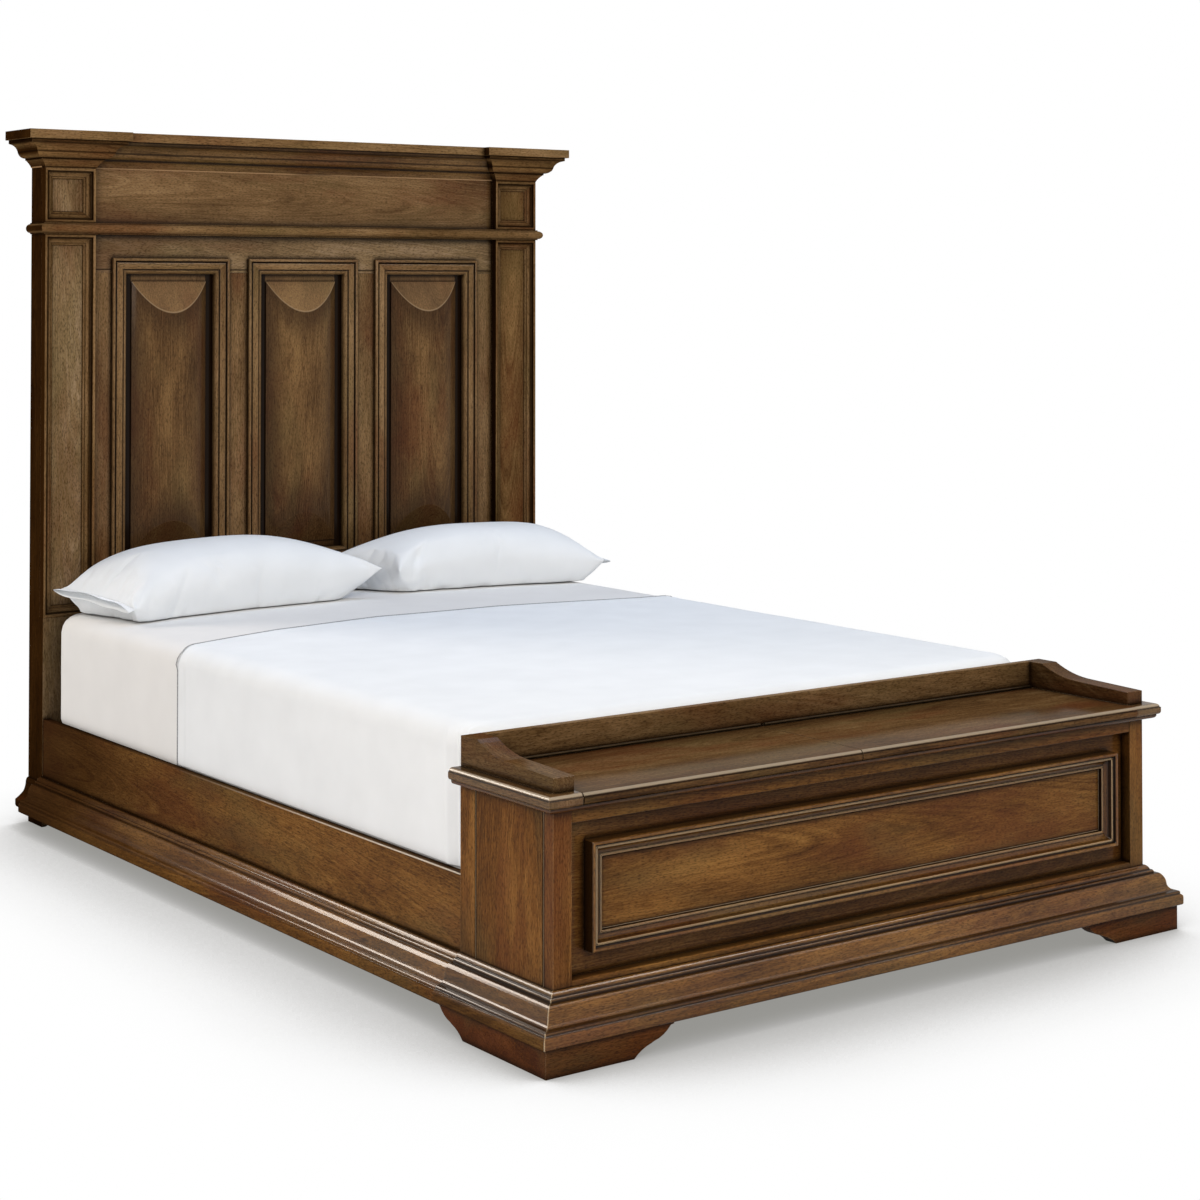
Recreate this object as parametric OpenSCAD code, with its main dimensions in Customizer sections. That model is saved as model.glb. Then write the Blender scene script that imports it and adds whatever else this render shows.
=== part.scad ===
// Panelled bed whose footboard is a low blanket chest with two lift-up lids.
// Millimetres, +Z up. The head is towards +Y and the chest towards -Y, the
// origin is on the floor under the middle of the whole bed.
// Inside the modules Y runs from the chest's front face, and placed() moves
// everything to the part's own frame.

/* [Bed] */
// Distance between the chest's back and the face of the headboard's pilasters
bed_gap = 2057; // [2050:1:2080]
// Height of the side rails' top edge
rail_top = 283; // [278:1:290]
// Thickness of a side rail
rail_t = 22; // [20:1:24]
// Distance of a side rail's outer face from the middle
rail_x = 786; // [784:1:788]
// Number of slats
slat_count = 12; // [8:1:14]

/* [Chest] */
// Width of the chest over its posts
chest_w = 1600; // [1580:1:1620]
// Depth of the chest over its posts
chest_d = 313; // [300:1:330]
// Height of the chest's top surface
chest_top = 497; // [480:1:510]
// Thickness of the lids
lid_t = 22; // [18:1:24]
// Distance of the joint between the lids from the middle, to the left
lid_split = 64.5; // [0:0.5:120]
// Height of the gallery's back above the top surface
gallery_h = 59; // [50:1:70]

/* [Headboard] */
// Width of the headboard over its pilasters
head_w = 1576; // [1560:1:1590]
// Height of the headboard
head_h = 1837; // [1800:1:1880]
// Width of a pilaster
pilaster_w = 145; // [130:1:160]
// Depth of a pilaster
pilaster_d = 92; // [70:1:100]

/* [Bedding] */
// Thickness of the mattress at its edge
mattress_t = 303; // [280:1:305]
// Length of the mattress
mattress_l = 2032; // [2000:1:2034]
// Width of the mattress where it swells over the rails
mattress_w = 1538; // [1524:1:1540]

/* [Hidden] */

walnut = "#6b4a30";
walnut_dark = "#4a3220";
walnut_light = "#86613f";
pine = "#c9a877";
steel = "#8d9094";
black_rubber = "#2a2a2a";
linen = "#e9edf0";

half_chest = chest_w / 2;
half_head = head_w / 2;
head_y = chest_d + bed_gap;            // face of the headboard's pilasters

// Chest carcass
foot_h = 54;                           // top of the bracket feet
foot_p = 52;                           // projection of the bracket feet
foot_board = 30;                       // thickness of a bracket foot's boards
post_w = 42;                           // front post, seen from the front
post_d = 31;                           // front post, seen from the side
back_post_w = 58;
back_post_d = 54;
side_t = 22;                           // chest side panels
front_t = 43;                          // front rails, front to back
field_set = 25;                        // recess of the front field board
back_t = 18;                           // chest back, gallery back and divider
lid_gap = 1.5;                         // shadow gap under and beside the lids
top_edge = 29;                         // overhang of the fixed top ends
lid_edge = 31;                         // overhang of the lids at the front
carcass_top = chest_top - lid_t - lid_gap;
front_rail_h = carcass_top - 437;
ledge_top = 150;                       // top of the front's bottom rail
floor_z = 120;                         // underside of the chest's floor
strip_w = 48;                          // width of the gallery's sides
strip_x = half_chest - strip_w;        // inner face of the gallery's sides
split_x = -lid_split;

// Piano hinge: the knuckles stand on the joint behind the lids
hinge_y = chest_d - back_t - 8;
hinge_r = 3.2;
hinge_z = chest_top + hinge_r + 0.2;
pin_r = 1.25;
leaf_t = 1;
leaf_gap = 0.3;                        // from a leaf's face to the axis
knuckle_l = 20;
leaf_face = leaf_gap + leaf_t;         // from the axis to what a leaf lies on

// Headboard
frame_depth = 22;                      // thickness of the pilasters' frames
field_back = 26;                       // the panelled field behind the pilasters
field_t = 30;
field_x = half_head - pilaster_w;      // inner edge of a pilaster
plinth_top = 548;
astragal_z = 1564;
frieze_z = 1594;
crown_z = 1741;
crown_p = 73;
cap_t = 24;
cap_z = head_h - cap_t;
head_foot = 22;                        // height of the headboard's feet
groove = 8;                            // panels' edges in the framing
plate_y = head_y + 42;                 // front of the panels' flat plates
plate_t = 10;
opening_half = 136.4;                  // half width of a panel opening
opening_z = 673.4;
opening_top = 1462;
panel_x = 411;                         // centre of the outer panels
bolection_lap = 39.6;                  // the mouldings' width on the framing
pillow_half = 111;                     // half width of a raised panel
pillow_edge = 5;                       // its thickness at the sides
pillow_rise = 30;                      // its swelling in the middle
pillow_margin = 24.5;                  // flat plate above and below it
facet_h = 85;                          // height of its sloped ends

// Rails and slats
rail_bottom = 48;
rail_in = rail_x - rail_t;
cleat_w = 25;
cleat_z = 200;
slat_z = 240;
slat_t = 20;
slat_w = 90;
beam_w = 70;
beam_z = 170;
plate_steel = 3;
leg_w = 45;
glide_h = 14;

// Bedding
bed_z = slat_z + slat_t;               // the mattress lies here
mattress_y = chest_d + bed_gap / 2 - 2;
mattress_half = mattress_w / 2;
sheet_t = 1.5;
sheet_hem_y = 1700;                    // edge of the flat sheet near the pillows

// The bed's extent in Y sets the origin halfway
base_p = 62;                           // projection of the base moulding
cap_back = 5;                          // the cap overhangs the posts' backs
y_front = -base_p;
y_back = head_y + pilaster_d + cap_back;
y_mid = (y_front + y_back) / 2;

module placed() {
  translate([0, -y_mid, 0]) children();
}

module both_sides() {
  children();
  mirror([1, 0, 0]) children();
}

// Points after a up to b on a circular arc that bulges by s to the left
function arc_to(a, b, s, n = 6) =
  let (
    chord = norm(b - a),
    turn = 4 * atan(2 * abs(s) / chord),
    r = chord / (2 * sin(turn / 2)),
    side = s > 0 ? 1 : -1,
    left = [a[1] - b[1], b[0] - a[0]] / chord,
    centre = (a + b) / 2 - side * left * r * cos(turn / 2),
    d = a - centre
  )
  [for (k = [1:n])
    let (w = -side * turn * k / n)
    centre + [d[0] * cos(w) - d[1] * sin(w), d[0] * sin(w) + d[1] * cos(w)]];

// A run of moulding along +X that projects towards -Y. Its profile is a
// list of [projection, height]. An end is square at 0, mitred for an outside
// corner at 1 and for an inside corner at -1.
module moulding_run(profile, len, start, finish) {
  reach = max([for (q = profile) q[0]]) + 1;
  low = min([for (q = profile) q[1]]) - 1;
  high = max([for (q = profile) q[1]]) + 1;
  intersection() {
    translate([-reach, 0, 0])
      rotate([90, 0, 90])
        linear_extrude(len + 2 * reach)
          polygon([for (q = profile) [-q[0], q[1]]]);
    translate([0, 0, low])
      linear_extrude(high - low)
        polygon([[start, 1], [len - finish, 1],
                 [len + finish * reach, -reach], [-start * reach, -reach]]);
  }
}

// A mitred frame in the XZ plane round its centre, standing out to -Y
module picture_frame(w, h, profile) {
  rotate([90, 0, 0]) {
    translate([-w / 2, h / 2, 0]) moulding_run(profile, w, -1, -1);
    translate([w / 2, -h / 2, 0]) rotate(180) moulding_run(profile, w, -1, -1);
    translate([-w / 2, -h / 2, 0]) rotate(90) moulding_run(profile, h, -1, -1);
    translate([w / 2, h / 2, 0]) rotate(-90) moulding_run(profile, h, -1, -1);
  }
}

module block(x, y, z) {
  translate([x[0], y[0], z[0]])
    cube([x[1] - x[0], y[1] - y[0], z[1] - z[0]]);
}

// ---- Moulding profiles ----

base_profile = concat(
  [[0, foot_h], [base_p - 4, foot_h]],
  arc_to([base_p - 4, foot_h], [base_p, foot_h + 4], -1.2, 3),
  [[base_p, 71]],
  arc_to([base_p, 71], [58, 77.5], -1.2, 3),
  [[57, 78], [57, 82.5], [55.5, 84.5], [48, 85.5]],
  arc_to([48, 85.5], [36, 101], 3, 6),
  arc_to([36, 101], [26.5, 121.5], -2.2, 6),
  [[24, 123], [17, 123.2]],
  arc_to([17, 123.2], [14, 129.5], -1, 3),
  [[11, 129.5]],
  arc_to([11, 129.5], [3.5, 139], -1.2, 4),
  [[0, 139]]);

rail_drop = 6;
rail_proud = 6;                        // the rails' moulding is this much thicker
rail_profile = [for (q = base_profile)
  [q[0] > 0 ? q[0] + rail_proud : 0, q[1] - rail_drop]];

head_base_profile = concat(
  [[0, head_foot], [3, head_foot], [24, 39], [34, 44], [37, 50], [37, 64]],
  arc_to([37, 64], [15, 82], 1, 4),
  arc_to([15, 82], [8, 104], 1.5, 4),
  arc_to([8, 104], [3, 118], -1.5, 3),
  [[0, 118]]);

crown_profile = concat(
  [[0, crown_z], [1, crown_z + 3]],
  arc_to([1, crown_z + 3], [15, crown_z + 20], 1, 4),
  [[17, crown_z + 20], [17, crown_z + 25]],
  arc_to([17, crown_z + 25], [38, crown_z + 40], -4.5, 6),
  arc_to([38, crown_z + 40], [60, crown_z + 62], 5, 7),
  [[63.5, crown_z + 63], [63.5, cap_z], [0, cap_z]]);

astragal_r = 12;
astragal_mid = (astragal_z + frieze_z) / 2;
astragal_profile = concat(
  [[0, astragal_z], [4, astragal_z], [4, astragal_mid - astragal_r]],
  arc_to([4, astragal_mid - astragal_r], [4, astragal_mid + astragal_r],
         -astragal_r, 10),
  [[4, frieze_z], [0, frieze_z]]);

pilaster_profile = concat(
  [[0, 0], [0, 20]],
  arc_to([0, 20], [2, frame_depth], 0.5, 3),
  [[6, frame_depth]],
  arc_to([6, frame_depth], [9, 17], 0.6, 3),
  [[9, 15], [13, 15]],
  arc_to([13, 15], [23, 7], -2, 4),
  [[23, 5]],
  arc_to([23, 5], [31, 0], 1.2, 3));

panel_profile = concat(
  [[0, 0], [0, 9]],
  arc_to([0, 9], [9, 9], 3.5, 6),
  [[9, 5], [12, 5], [12, 9]],
  arc_to([12, 9], [31, 9], 1.4, 5),
  [[31, 6], [33.5, 6], [33.5, 8]],
  arc_to([33.5, 8], [44, -4], 3, 5),
  [[44, -12], [bolection_lap, -12], [bolection_lap, 0]]);

chest_profile = concat(
  [[0, 0], [0, 27]],
  arc_to([0, 27], [8, 28], 4, 6),
  [[8, 24], [11, 24]],
  arc_to([11, 24], [16, 23], 1.8, 4),
  [[17, 20]],
  arc_to([17, 20], [28, 11], -2.5, 5),
  [[29, 13]],
  arc_to([29, 13], [34, 12], 1.5, 3),
  [[34, 4], [36, 4], [36, 0]]);

function edge_profile(reach, low) = concat(
  [[0, low], [reach - 7, low]],
  arc_to([reach - 7, low], [reach, low + 6], -1.8, 4),
  [[reach, chest_top - 7.5], [reach - 2, chest_top - 7]],
  arc_to([reach - 2, chest_top - 7], [reach - 9, chest_top], -2, 4),
  [[0, chest_top]]);

under_top_profile = concat(
  [[0, carcass_top - 9], [14, carcass_top - 9]],
  arc_to([14, carcass_top - 9], [22, carcass_top - 3], -2, 4),
  [[22, carcass_top], [0, carcass_top]]);

// ---- Headboard ----

slot_z = [120, 195];                   // centres of the rail hooks
slot_plate_z = [95, 220];

// Recess for a slotted plate and the pocket behind it, at a post's face
module plate_pocket(face_y, into) {
  y0 = into > 0 ? face_y : face_y - plate_steel;
  p0 = into > 0 ? face_y : face_y - 22;
  block([rail_x - rail_t / 2 - 11, rail_x - rail_t / 2 + 11],
        [y0, y0 + plate_steel], slot_plate_z);
  block([rail_x - rail_t / 2 - 6, rail_x - rail_t / 2 + 6], [p0, p0 + 22],
        [slot_plate_z[0] + 8, slot_plate_z[1] - 8]);
}

module headboard_post() {
  x = [field_x, half_head];
  color(walnut) difference() {
    union() {
      block(x, [head_y + frame_depth, head_y + pilaster_d], [head_foot, cap_z]);
      block(x, [head_y, head_y + frame_depth], [head_foot, plinth_top]);
      translate([0, head_y + pilaster_d, 0])
        rotate([90, 0, 0])
          linear_extrude(pilaster_d)
            polygon([[half_head, 0], [half_head - 10, 0],
                     [half_head - 29, 8], [half_head - 46, head_foot],
                     [half_head, head_foot]]);
    }
    plate_pocket(head_y, 1);
  }
}

module pilaster_mouldings() {
  mid_x = half_head - pilaster_w / 2;
  color(walnut_light) both_sides() {
    translate([mid_x, head_y + frame_depth, (frieze_z + crown_z) / 2])
      picture_frame(pilaster_w, crown_z - frieze_z, pilaster_profile);
    translate([mid_x, head_y + frame_depth, (plinth_top + astragal_z) / 2])
      picture_frame(pilaster_w, astragal_z - plinth_top, pilaster_profile);
  }
}

field_y = [head_y + field_back, head_y + field_back + field_t];
plate_span = [plate_y, plate_y + plate_t];

module panel_grooves() {
  for (x = [-panel_x, 0, panel_x])
    block([x - opening_half - groove, x + opening_half + groove], plate_span,
          [opening_z - groove, opening_top + groove]);
}

module headboard_frieze() {
  color(walnut) block([-field_x, field_x], field_y, [frieze_z, cap_z]);
}

module headboard_top_rail() {
  color(walnut) difference() {
    block([-field_x, field_x], field_y, [opening_top, frieze_z]);
    panel_grooves();
  }
}

module headboard_bottom_rail() {
  color(walnut) difference() {
    block([-field_x, field_x], field_y, [150, opening_z]);
    panel_grooves();
  }
}

module headboard_stiles() {
  color(walnut) both_sides() difference() {
    block([panel_x + opening_half, field_x], field_y, [opening_z, opening_top]);
    panel_grooves();
  }
}

module headboard_mullions() {
  color(walnut) both_sides() difference() {
    block([opening_half, panel_x - opening_half], field_y,
          [opening_z, opening_top]);
    panel_grooves();
  }
}

// Flat plate with a raised middle, which is a slice of a large cylinder with
// its ends cut by sloping planes
module raised_panel(x) {
  low = opening_z + pillow_margin;
  high = opening_top - pillow_margin;
  swell_r = (pillow_half * pillow_half + pillow_rise * pillow_rise)
    / (2 * pillow_rise);
  side_y = plate_y - pillow_edge;
  color(walnut_light) {
    block([x - opening_half - groove, x + opening_half + groove], plate_span,
          [opening_z - groove, opening_top + groove]);
    intersection() {
      translate([x, side_y - pillow_rise + swell_r, low])
        cylinder(r = swell_r, h = high - low, $fn = 128);
      translate([x - pillow_half, 0, 0])
        rotate([90, 0, 90])
          linear_extrude(2 * pillow_half)
            polygon([[plate_y, low], [side_y, low],
                     [side_y - pillow_rise, low + facet_h],
                     [side_y - pillow_rise, high - facet_h],
                     [side_y, high], [plate_y, high]]);
    }
  }
}

module panel_mouldings() {
  w = 2 * (opening_half + bolection_lap);
  h = opening_top - opening_z + 2 * bolection_lap;
  color(walnut_light)
    for (x = [-panel_x, 0, panel_x])
      translate([x, head_y + field_back, (opening_z + opening_top) / 2])
        picture_frame(w, h, panel_profile);
}

module astragal() {
  color(walnut_light) {
    translate([-half_head, head_y, 0])
      moulding_run(astragal_profile, head_w, 1, 1);
    both_sides()
      translate([-half_head, head_y + pilaster_d, 0])
        rotate(-90) moulding_run(astragal_profile, pilaster_d, 0, 1);
    block([-half_head, half_head], [head_y, head_y + frame_depth],
          [astragal_z, frieze_z]);
    block([-field_x, field_x], [head_y, head_y + field_back],
          [astragal_z, frieze_z]);
  }
}

// The crown breaks forward over each pilaster
module crown_ends() {
  color(walnut) both_sides() {
    translate([-half_head, head_y, 0])
      moulding_run(crown_profile, pilaster_w, 1, 1);
    translate([-half_head, head_y + pilaster_d + cap_back, 0])
      rotate(-90)
        moulding_run(crown_profile, pilaster_d + cap_back, 0, 1);
    translate([-field_x, head_y, 0])
      rotate(90) moulding_run(crown_profile, field_back, 1, -1);
    block([-half_head, -field_x], [head_y, head_y + frame_depth],
          [crown_z, cap_z]);
  }
}

module crown_centre() {
  color(walnut)
    translate([-field_x, head_y + field_back, 0])
      moulding_run(crown_profile, 2 * field_x, -1, -1);
}

module crown_cap() {
  x_out = half_head + crown_p;
  x_in = field_x - crown_p;
  front = head_y - crown_p;
  color(walnut)
    translate([0, 0, cap_z])
      linear_extrude(cap_t)
        polygon([[-x_out, front], [-x_in, front], [-x_in, front + field_back],
                 [x_in, front + field_back], [x_in, front], [x_out, front],
                 [x_out, y_back], [-x_out, y_back]]);
}

module headboard_base_mouldings() {
  color(walnut_dark) both_sides()
    translate([-half_head, head_y + pilaster_d, 0])
      rotate(-90) moulding_run(head_base_profile, pilaster_d, 0, 0);
}

// ---- Rails, slats and hardware ----

kerf_mid = rail_x - rail_t / 2;
hook_plate_l = 50;
hook_plate_z = [100, 215];

module hook_kerf(margin) {
  for (y = [[chest_d, chest_d + hook_plate_l], [head_y - hook_plate_l, head_y]])
    block([kerf_mid - plate_steel / 2, kerf_mid + plate_steel / 2],
          [y[0] - margin, y[1] + margin], hook_plate_z);
}

module side_rail() {
  r = 3;
  color(walnut) difference() {
    translate([0, head_y, 0])
      rotate([90, 0, 0])
        linear_extrude(bed_gap)
          polygon(concat(
            [[rail_in, rail_bottom], [rail_x, rail_bottom],
             [rail_x, rail_top - r]],
            arc_to([rail_x, rail_top - r], [rail_x - r, rail_top], -0.88, 4),
            [[rail_in + r, rail_top]],
            arc_to([rail_in + r, rail_top], [rail_in, rail_top - r], -0.88, 4)));
    hook_kerf(0);
  }
}

module rail_moulding() {
  color(walnut)
    translate([-rail_x, head_y, 0])
      rotate(-90) moulding_run(rail_profile, bed_gap, 0, 0);
}

module slat_cleats() {
  color(pine) both_sides()
    block([rail_in - cleat_w, rail_in], [chest_d + 20, head_y - 20],
          [cleat_z, slat_z]);
}

// One hook in the YZ plane: a tongue that points away from the rail and a
// claw that drops behind the slotted plate
module hook_outline(z) {
  polygon([[0, z + 12], [14, z + 12], [14, z - 14], [plate_steel + 0.5, z - 14],
           [plate_steel + 0.5, z - 6], [0, z - 6]]);
}

module rail_hook_plates() {
  color(steel) both_sides()
    translate([kerf_mid - plate_steel / 2, 0, 0])
      rotate([90, 0, 90])
        linear_extrude(plate_steel) {
          translate([head_y - hook_plate_l, hook_plate_z[0]])
            square([hook_plate_l, hook_plate_z[1] - hook_plate_z[0]]);
          translate([chest_d, hook_plate_z[0]])
            square([hook_plate_l, hook_plate_z[1] - hook_plate_z[0]]);
          for (z = slot_z) {
            translate([head_y, 0]) hook_outline(z);
            translate([chest_d, 0]) mirror([1, 0]) hook_outline(z);
          }
        }
}

module slot_plate() {
  difference() {
    block([kerf_mid - 11, kerf_mid + 11], [0, plate_steel], slot_plate_z);
    for (z = slot_z)
      block([kerf_mid - 2.5, kerf_mid + 2.5], [-1, plate_steel + 1],
            [z - 18, z + 14]);
  }
}

module post_slot_plates() {
  color(steel) both_sides() {
    translate([0, head_y, 0]) slot_plate();
    translate([0, chest_d - plate_steel, 0]) slot_plate();
  }
}

module slats() {
  half = rail_in - 2;
  first = chest_d + 90;
  pitch = (bed_gap - 180) / (slat_count - 1);
  color(pine)
    for (i = [0:slat_count - 1])
      block([-half, half],
            [first + i * pitch - slat_w / 2, first + i * pitch + slat_w / 2],
            [slat_z, slat_z + slat_t]);
}

beam_y = [chest_d + plate_steel, head_y + field_back - plate_steel];

module centre_beam() {
  color(pine) block([-beam_w / 2, beam_w / 2], beam_y, [beam_z, slat_z]);
}

// Angle plates that carry the beam's ends
module beam_brackets() {
  wing = 40;
  shelf = 60;
  color(steel)
    for (e = [[chest_d, 1], [head_y + field_back, -1]])
      translate([0, e[0], 0])
        mirror([0, e[1] < 0 ? 1 : 0, 0]) {
          block([-beam_w / 2 - wing, beam_w / 2 + wing], [0, plate_steel],
                [beam_z - plate_steel, slat_z - 4]);
          block([-beam_w / 2, beam_w / 2], [plate_steel, shelf],
                [beam_z - plate_steel, beam_z]);
        }
}

leg_y = [for (i = [1:3]) chest_d + bed_gap * i / 4];

module centre_legs() {
  color(pine)
    for (y = leg_y)
      block([-leg_w / 2, leg_w / 2], [y - leg_w / 2, y + leg_w / 2],
            [glide_h, beam_z]);
}

module leg_glides() {
  color(black_rubber)
    for (y = leg_y)
      translate([0, y, 0]) {
        cylinder(r = 18, h = 6, $fn = 48);
        cylinder(r = 6, h = glide_h, $fn = 32);
      }
}

// ---- Chest ----

carcass_z = [foot_h, carcass_top];

module chest_front_posts() {
  inner = half_chest - post_w;
  color(walnut) both_sides()
    translate([0, 0, foot_h])
      linear_extrude(carcass_top - foot_h)
        polygon([[inner, 0], [half_chest - 1, 0], [half_chest, 1],
                 [half_chest, post_d - 1], [half_chest - 1, post_d],
                 [half_chest - side_t, post_d], [half_chest - side_t, front_t],
                 [inner, front_t]]);
}

module chest_back_posts() {
  x = [half_chest - back_post_w, half_chest];
  color(walnut) both_sides() difference() {
    translate([0, 0, foot_h])
      linear_extrude(carcass_top - foot_h)
        polygon([[x[0], chest_d - back_post_d],
                 [half_chest - 1, chest_d - back_post_d],
                 [half_chest, chest_d - back_post_d + 1],
                 [half_chest, chest_d], [x[0], chest_d]]);
    plate_pocket(chest_d, -1);
  }
}

module chest_side() {
  y = [post_d, chest_d - back_post_d];
  color(walnut)
    translate([0, 0, foot_h])
      linear_extrude(carcass_top - foot_h)
        polygon([[half_chest - side_t, y[0]], [half_chest - 1, y[0]],
                 [half_chest, y[0] + 1], [half_chest, y[1] - 1],
                 [half_chest - 1, y[1]], [half_chest - side_t, y[1]]]);
}

front_x = [post_w - half_chest, half_chest - post_w];

module chest_front_rails() {
  color(walnut) {
    block(front_x, [0, front_t], [carcass_top - front_rail_h, carcass_top]);
    block(front_x, [0, front_t], [foot_h, ledge_top]);
  }
}

module chest_front_field() {
  color(walnut_dark)
    block(front_x, [field_set, front_t], [ledge_top, carcass_top - front_rail_h]);
}

front_frame_w = 1428;
front_frame_h = 205;
front_frame_z = 295.5;
front_frame_q = 36;                    // width of the frame's moulding

module chest_front_moulding() {
  color(walnut_light)
    translate([0, field_set, front_frame_z])
      picture_frame(front_frame_w, front_frame_h, chest_profile);
}

module chest_front_panel() {
  w = front_frame_w / 2 - front_frame_q;
  h = front_frame_h / 2 - front_frame_q;
  color(walnut)
    block([-w, w], [field_set - 5, field_set], [front_frame_z - h, front_frame_z + h]);
}

module chest_back() {
  x = half_chest - back_post_w;
  color(walnut_dark) block([-x, x], [chest_d - back_t, chest_d], carcass_z);
}

module chest_floor() {
  x = half_chest - side_t;
  notch = half_chest - back_post_w;
  y = [front_t, chest_d - back_post_d, chest_d - back_t];
  color(pine)
    translate([0, 0, floor_z])
      linear_extrude(back_t)
        polygon([[-x, y[0]], [x, y[0]], [x, y[1]], [notch, y[1]],
                 [notch, y[2]], [-notch, y[2]], [-notch, y[1]], [-x, y[1]]]);
}

module chest_divider() {
  color(pine)
    block([split_x - back_t / 2, split_x + back_t / 2],
          [front_t, chest_d - back_t], [floor_z + back_t, carcass_top]);
}

module base_moulding_front() {
  color(walnut_dark)
    translate([-half_chest, 0, 0]) moulding_run(base_profile, chest_w, 1, 1);
}

module base_mouldings_side() {
  color(walnut_dark) both_sides()
    translate([-half_chest, chest_d, 0])
      rotate(-90) moulding_run(base_profile, chest_d, 0, 1);
}

// Outline of one arm of a bracket foot: it runs along the floor for flat,
// then rises in an ogee
function foot_outline(flat, rise) = concat(
  [[0, 0], [flat, 0]],
  arc_to([flat, 0], [flat + rise * 0.42, 22], 3, 4),
  [[flat + rise * 0.5, 25]],
  arc_to([flat + rise * 0.5, 25], [flat + rise * 0.92, foot_h - 6], -4, 4),
  [[flat + rise, foot_h - 5], [flat + rise, foot_h], [0, foot_h]]);

module bracket_foot() {
  corner = half_chest + foot_p;
  color(walnut_dark) {
    translate([-corner, foot_board - foot_p, 0])
      rotate([90, 0, 0])
        linear_extrude(foot_board) polygon(foot_outline(199, 93));
    translate([-corner, -foot_p, 0])
      rotate([90, 0, 90])
        linear_extrude(foot_board) polygon(foot_outline(276, 89));
    block([foot_board - corner, post_w - half_chest + 10],
          [foot_board - foot_p, front_t], [0, foot_h]);
  }
}

module under_top_moulding() {
  color(walnut_dark) {
    translate([-half_chest, 0, 0])
      moulding_run(under_top_profile, chest_w, 1, 1);
    both_sides()
      translate([-half_chest, chest_d, 0])
        rotate(-90) moulding_run(under_top_profile, chest_d, 0, 1);
  }
}

module top_end_strips() {
  profile = edge_profile(top_edge, carcass_top);
  color(walnut) both_sides() {
    block([-half_chest, -strip_x], [0, chest_d], [carcass_top, chest_top]);
    translate([-half_chest, chest_d, 0])
      rotate(-90) moulding_run(profile, chest_d, 0, 1);
    translate([-half_chest, 0, 0]) moulding_run(profile, strip_w, 1, 0);
  }
}

module top_back_strip() {
  color(walnut)
    block([-strip_x, strip_x], [hinge_y + leaf_face, chest_d],
          [carcass_top, chest_top]);
}

module gallery_back() {
  color(walnut)
    block([-strip_x, strip_x], [chest_d - back_t, chest_d],
          [chest_top, chest_top + gallery_h]);
}

// A side sweeps down from the back's height to a blunt front end
module gallery_sides() {
  tall = chest_top + gallery_h;
  low_end = chest_top + 28;
  bend = [150, chest_top + 33];
  shoulder = [257, tall];
  color(walnut) both_sides()
    translate([strip_x, 0, 0])
      rotate([90, 0, 90])
        linear_extrude(strip_w)
          polygon(concat(
            [[0, chest_top], [chest_d, chest_top], [chest_d, tall], shoulder],
            arc_to(shoulder, bend, 6, 8),
            [[0, low_end]]));
}

lid_left_x = [-strip_x + lid_gap, split_x - 1];
lid_right_x = [split_x + 1, strip_x - lid_gap];

module lid(x) {
  color(walnut) {
    block(x, [0, hinge_y - leaf_face], [chest_top - lid_t, chest_top]);
    translate([x[0], 0, 0])
      moulding_run(edge_profile(lid_edge, chest_top - lid_t), x[1] - x[0], 0, 0);
  }
}

module lid_bumpers() {
  color(black_rubber)
    for (x = [lid_left_x[0] + 60, lid_left_x[1] - 60,
              lid_right_x[0] + 60, lid_right_x[1] - 60])
      translate([x, 20, carcass_top]) cylinder(r = 5, h = lid_gap, $fn = 32);
}

// ---- Piano hinges ----

// One leaf of a piano hinge. side is 1 for the leaf on the fixed strip and
// -1 for the leaf on the lid; the knuckles alternate between the two.
module hinge_leaf(x, side) {
  count = floor((x[1] - x[0]) / knuckle_l);
  start = (x[0] + x[1] - count * knuckle_l) / 2;
  first = side > 0 ? 0 : 1;
  leaf_low = chest_top - lid_t + 4;
  leaf_high = hinge_z - hinge_r - 0.2;
  y = side > 0 ? [leaf_gap, leaf_face] : [-leaf_face, -leaf_gap];
  color(steel) difference() {
    union() {
      block([start, start + count * knuckle_l], hinge_y * [1, 1] + y,
            [leaf_low, leaf_high]);
      for (i = [first:2:count - 1]) {
        x0 = start + i * knuckle_l + 0.15;
        translate([x0, hinge_y, hinge_z])
          rotate([0, 90, 0])
            cylinder(r = hinge_r, h = knuckle_l - 0.3, $fn = 32);
        block([x0, x0 + knuckle_l - 0.3], hinge_y * [1, 1] + y,
              [leaf_high - 1, hinge_z]);
      }
    }
    translate([x[0], hinge_y, hinge_z])
      rotate([0, 90, 0])
        cylinder(r = pin_r + 0.05, h = x[1] - x[0], $fn = 32);
  }
}

module hinge_fixed_leaves() {
  hinge_leaf(lid_left_x, 1);
  hinge_leaf(lid_right_x, 1);
}

module hinge_pins() {
  color(steel)
    for (x = [lid_left_x, lid_right_x])
      translate([x[0] + 2, hinge_y, hinge_z])
        rotate([0, 90, 0])
          cylinder(r = pin_r, h = x[1] - x[0] - 4, $fn = 32);
}

// ---- Bedding ----

// Rounded rectangle with half sizes a and b, as a ring of points at height z
function soft_ring(a, b, r, z, n = 5) =
  [for (c = [0:3], k = [0:n])
    let (
      w = 90 * c + 90 * k / n,
      cx = (c == 0 || c == 3 ? 1 : -1) * (a - r),
      cy = (c < 2 ? 1 : -1) * (b - r)
    )
    [cx + r * cos(w), cy + r * sin(w), z]];

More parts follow.
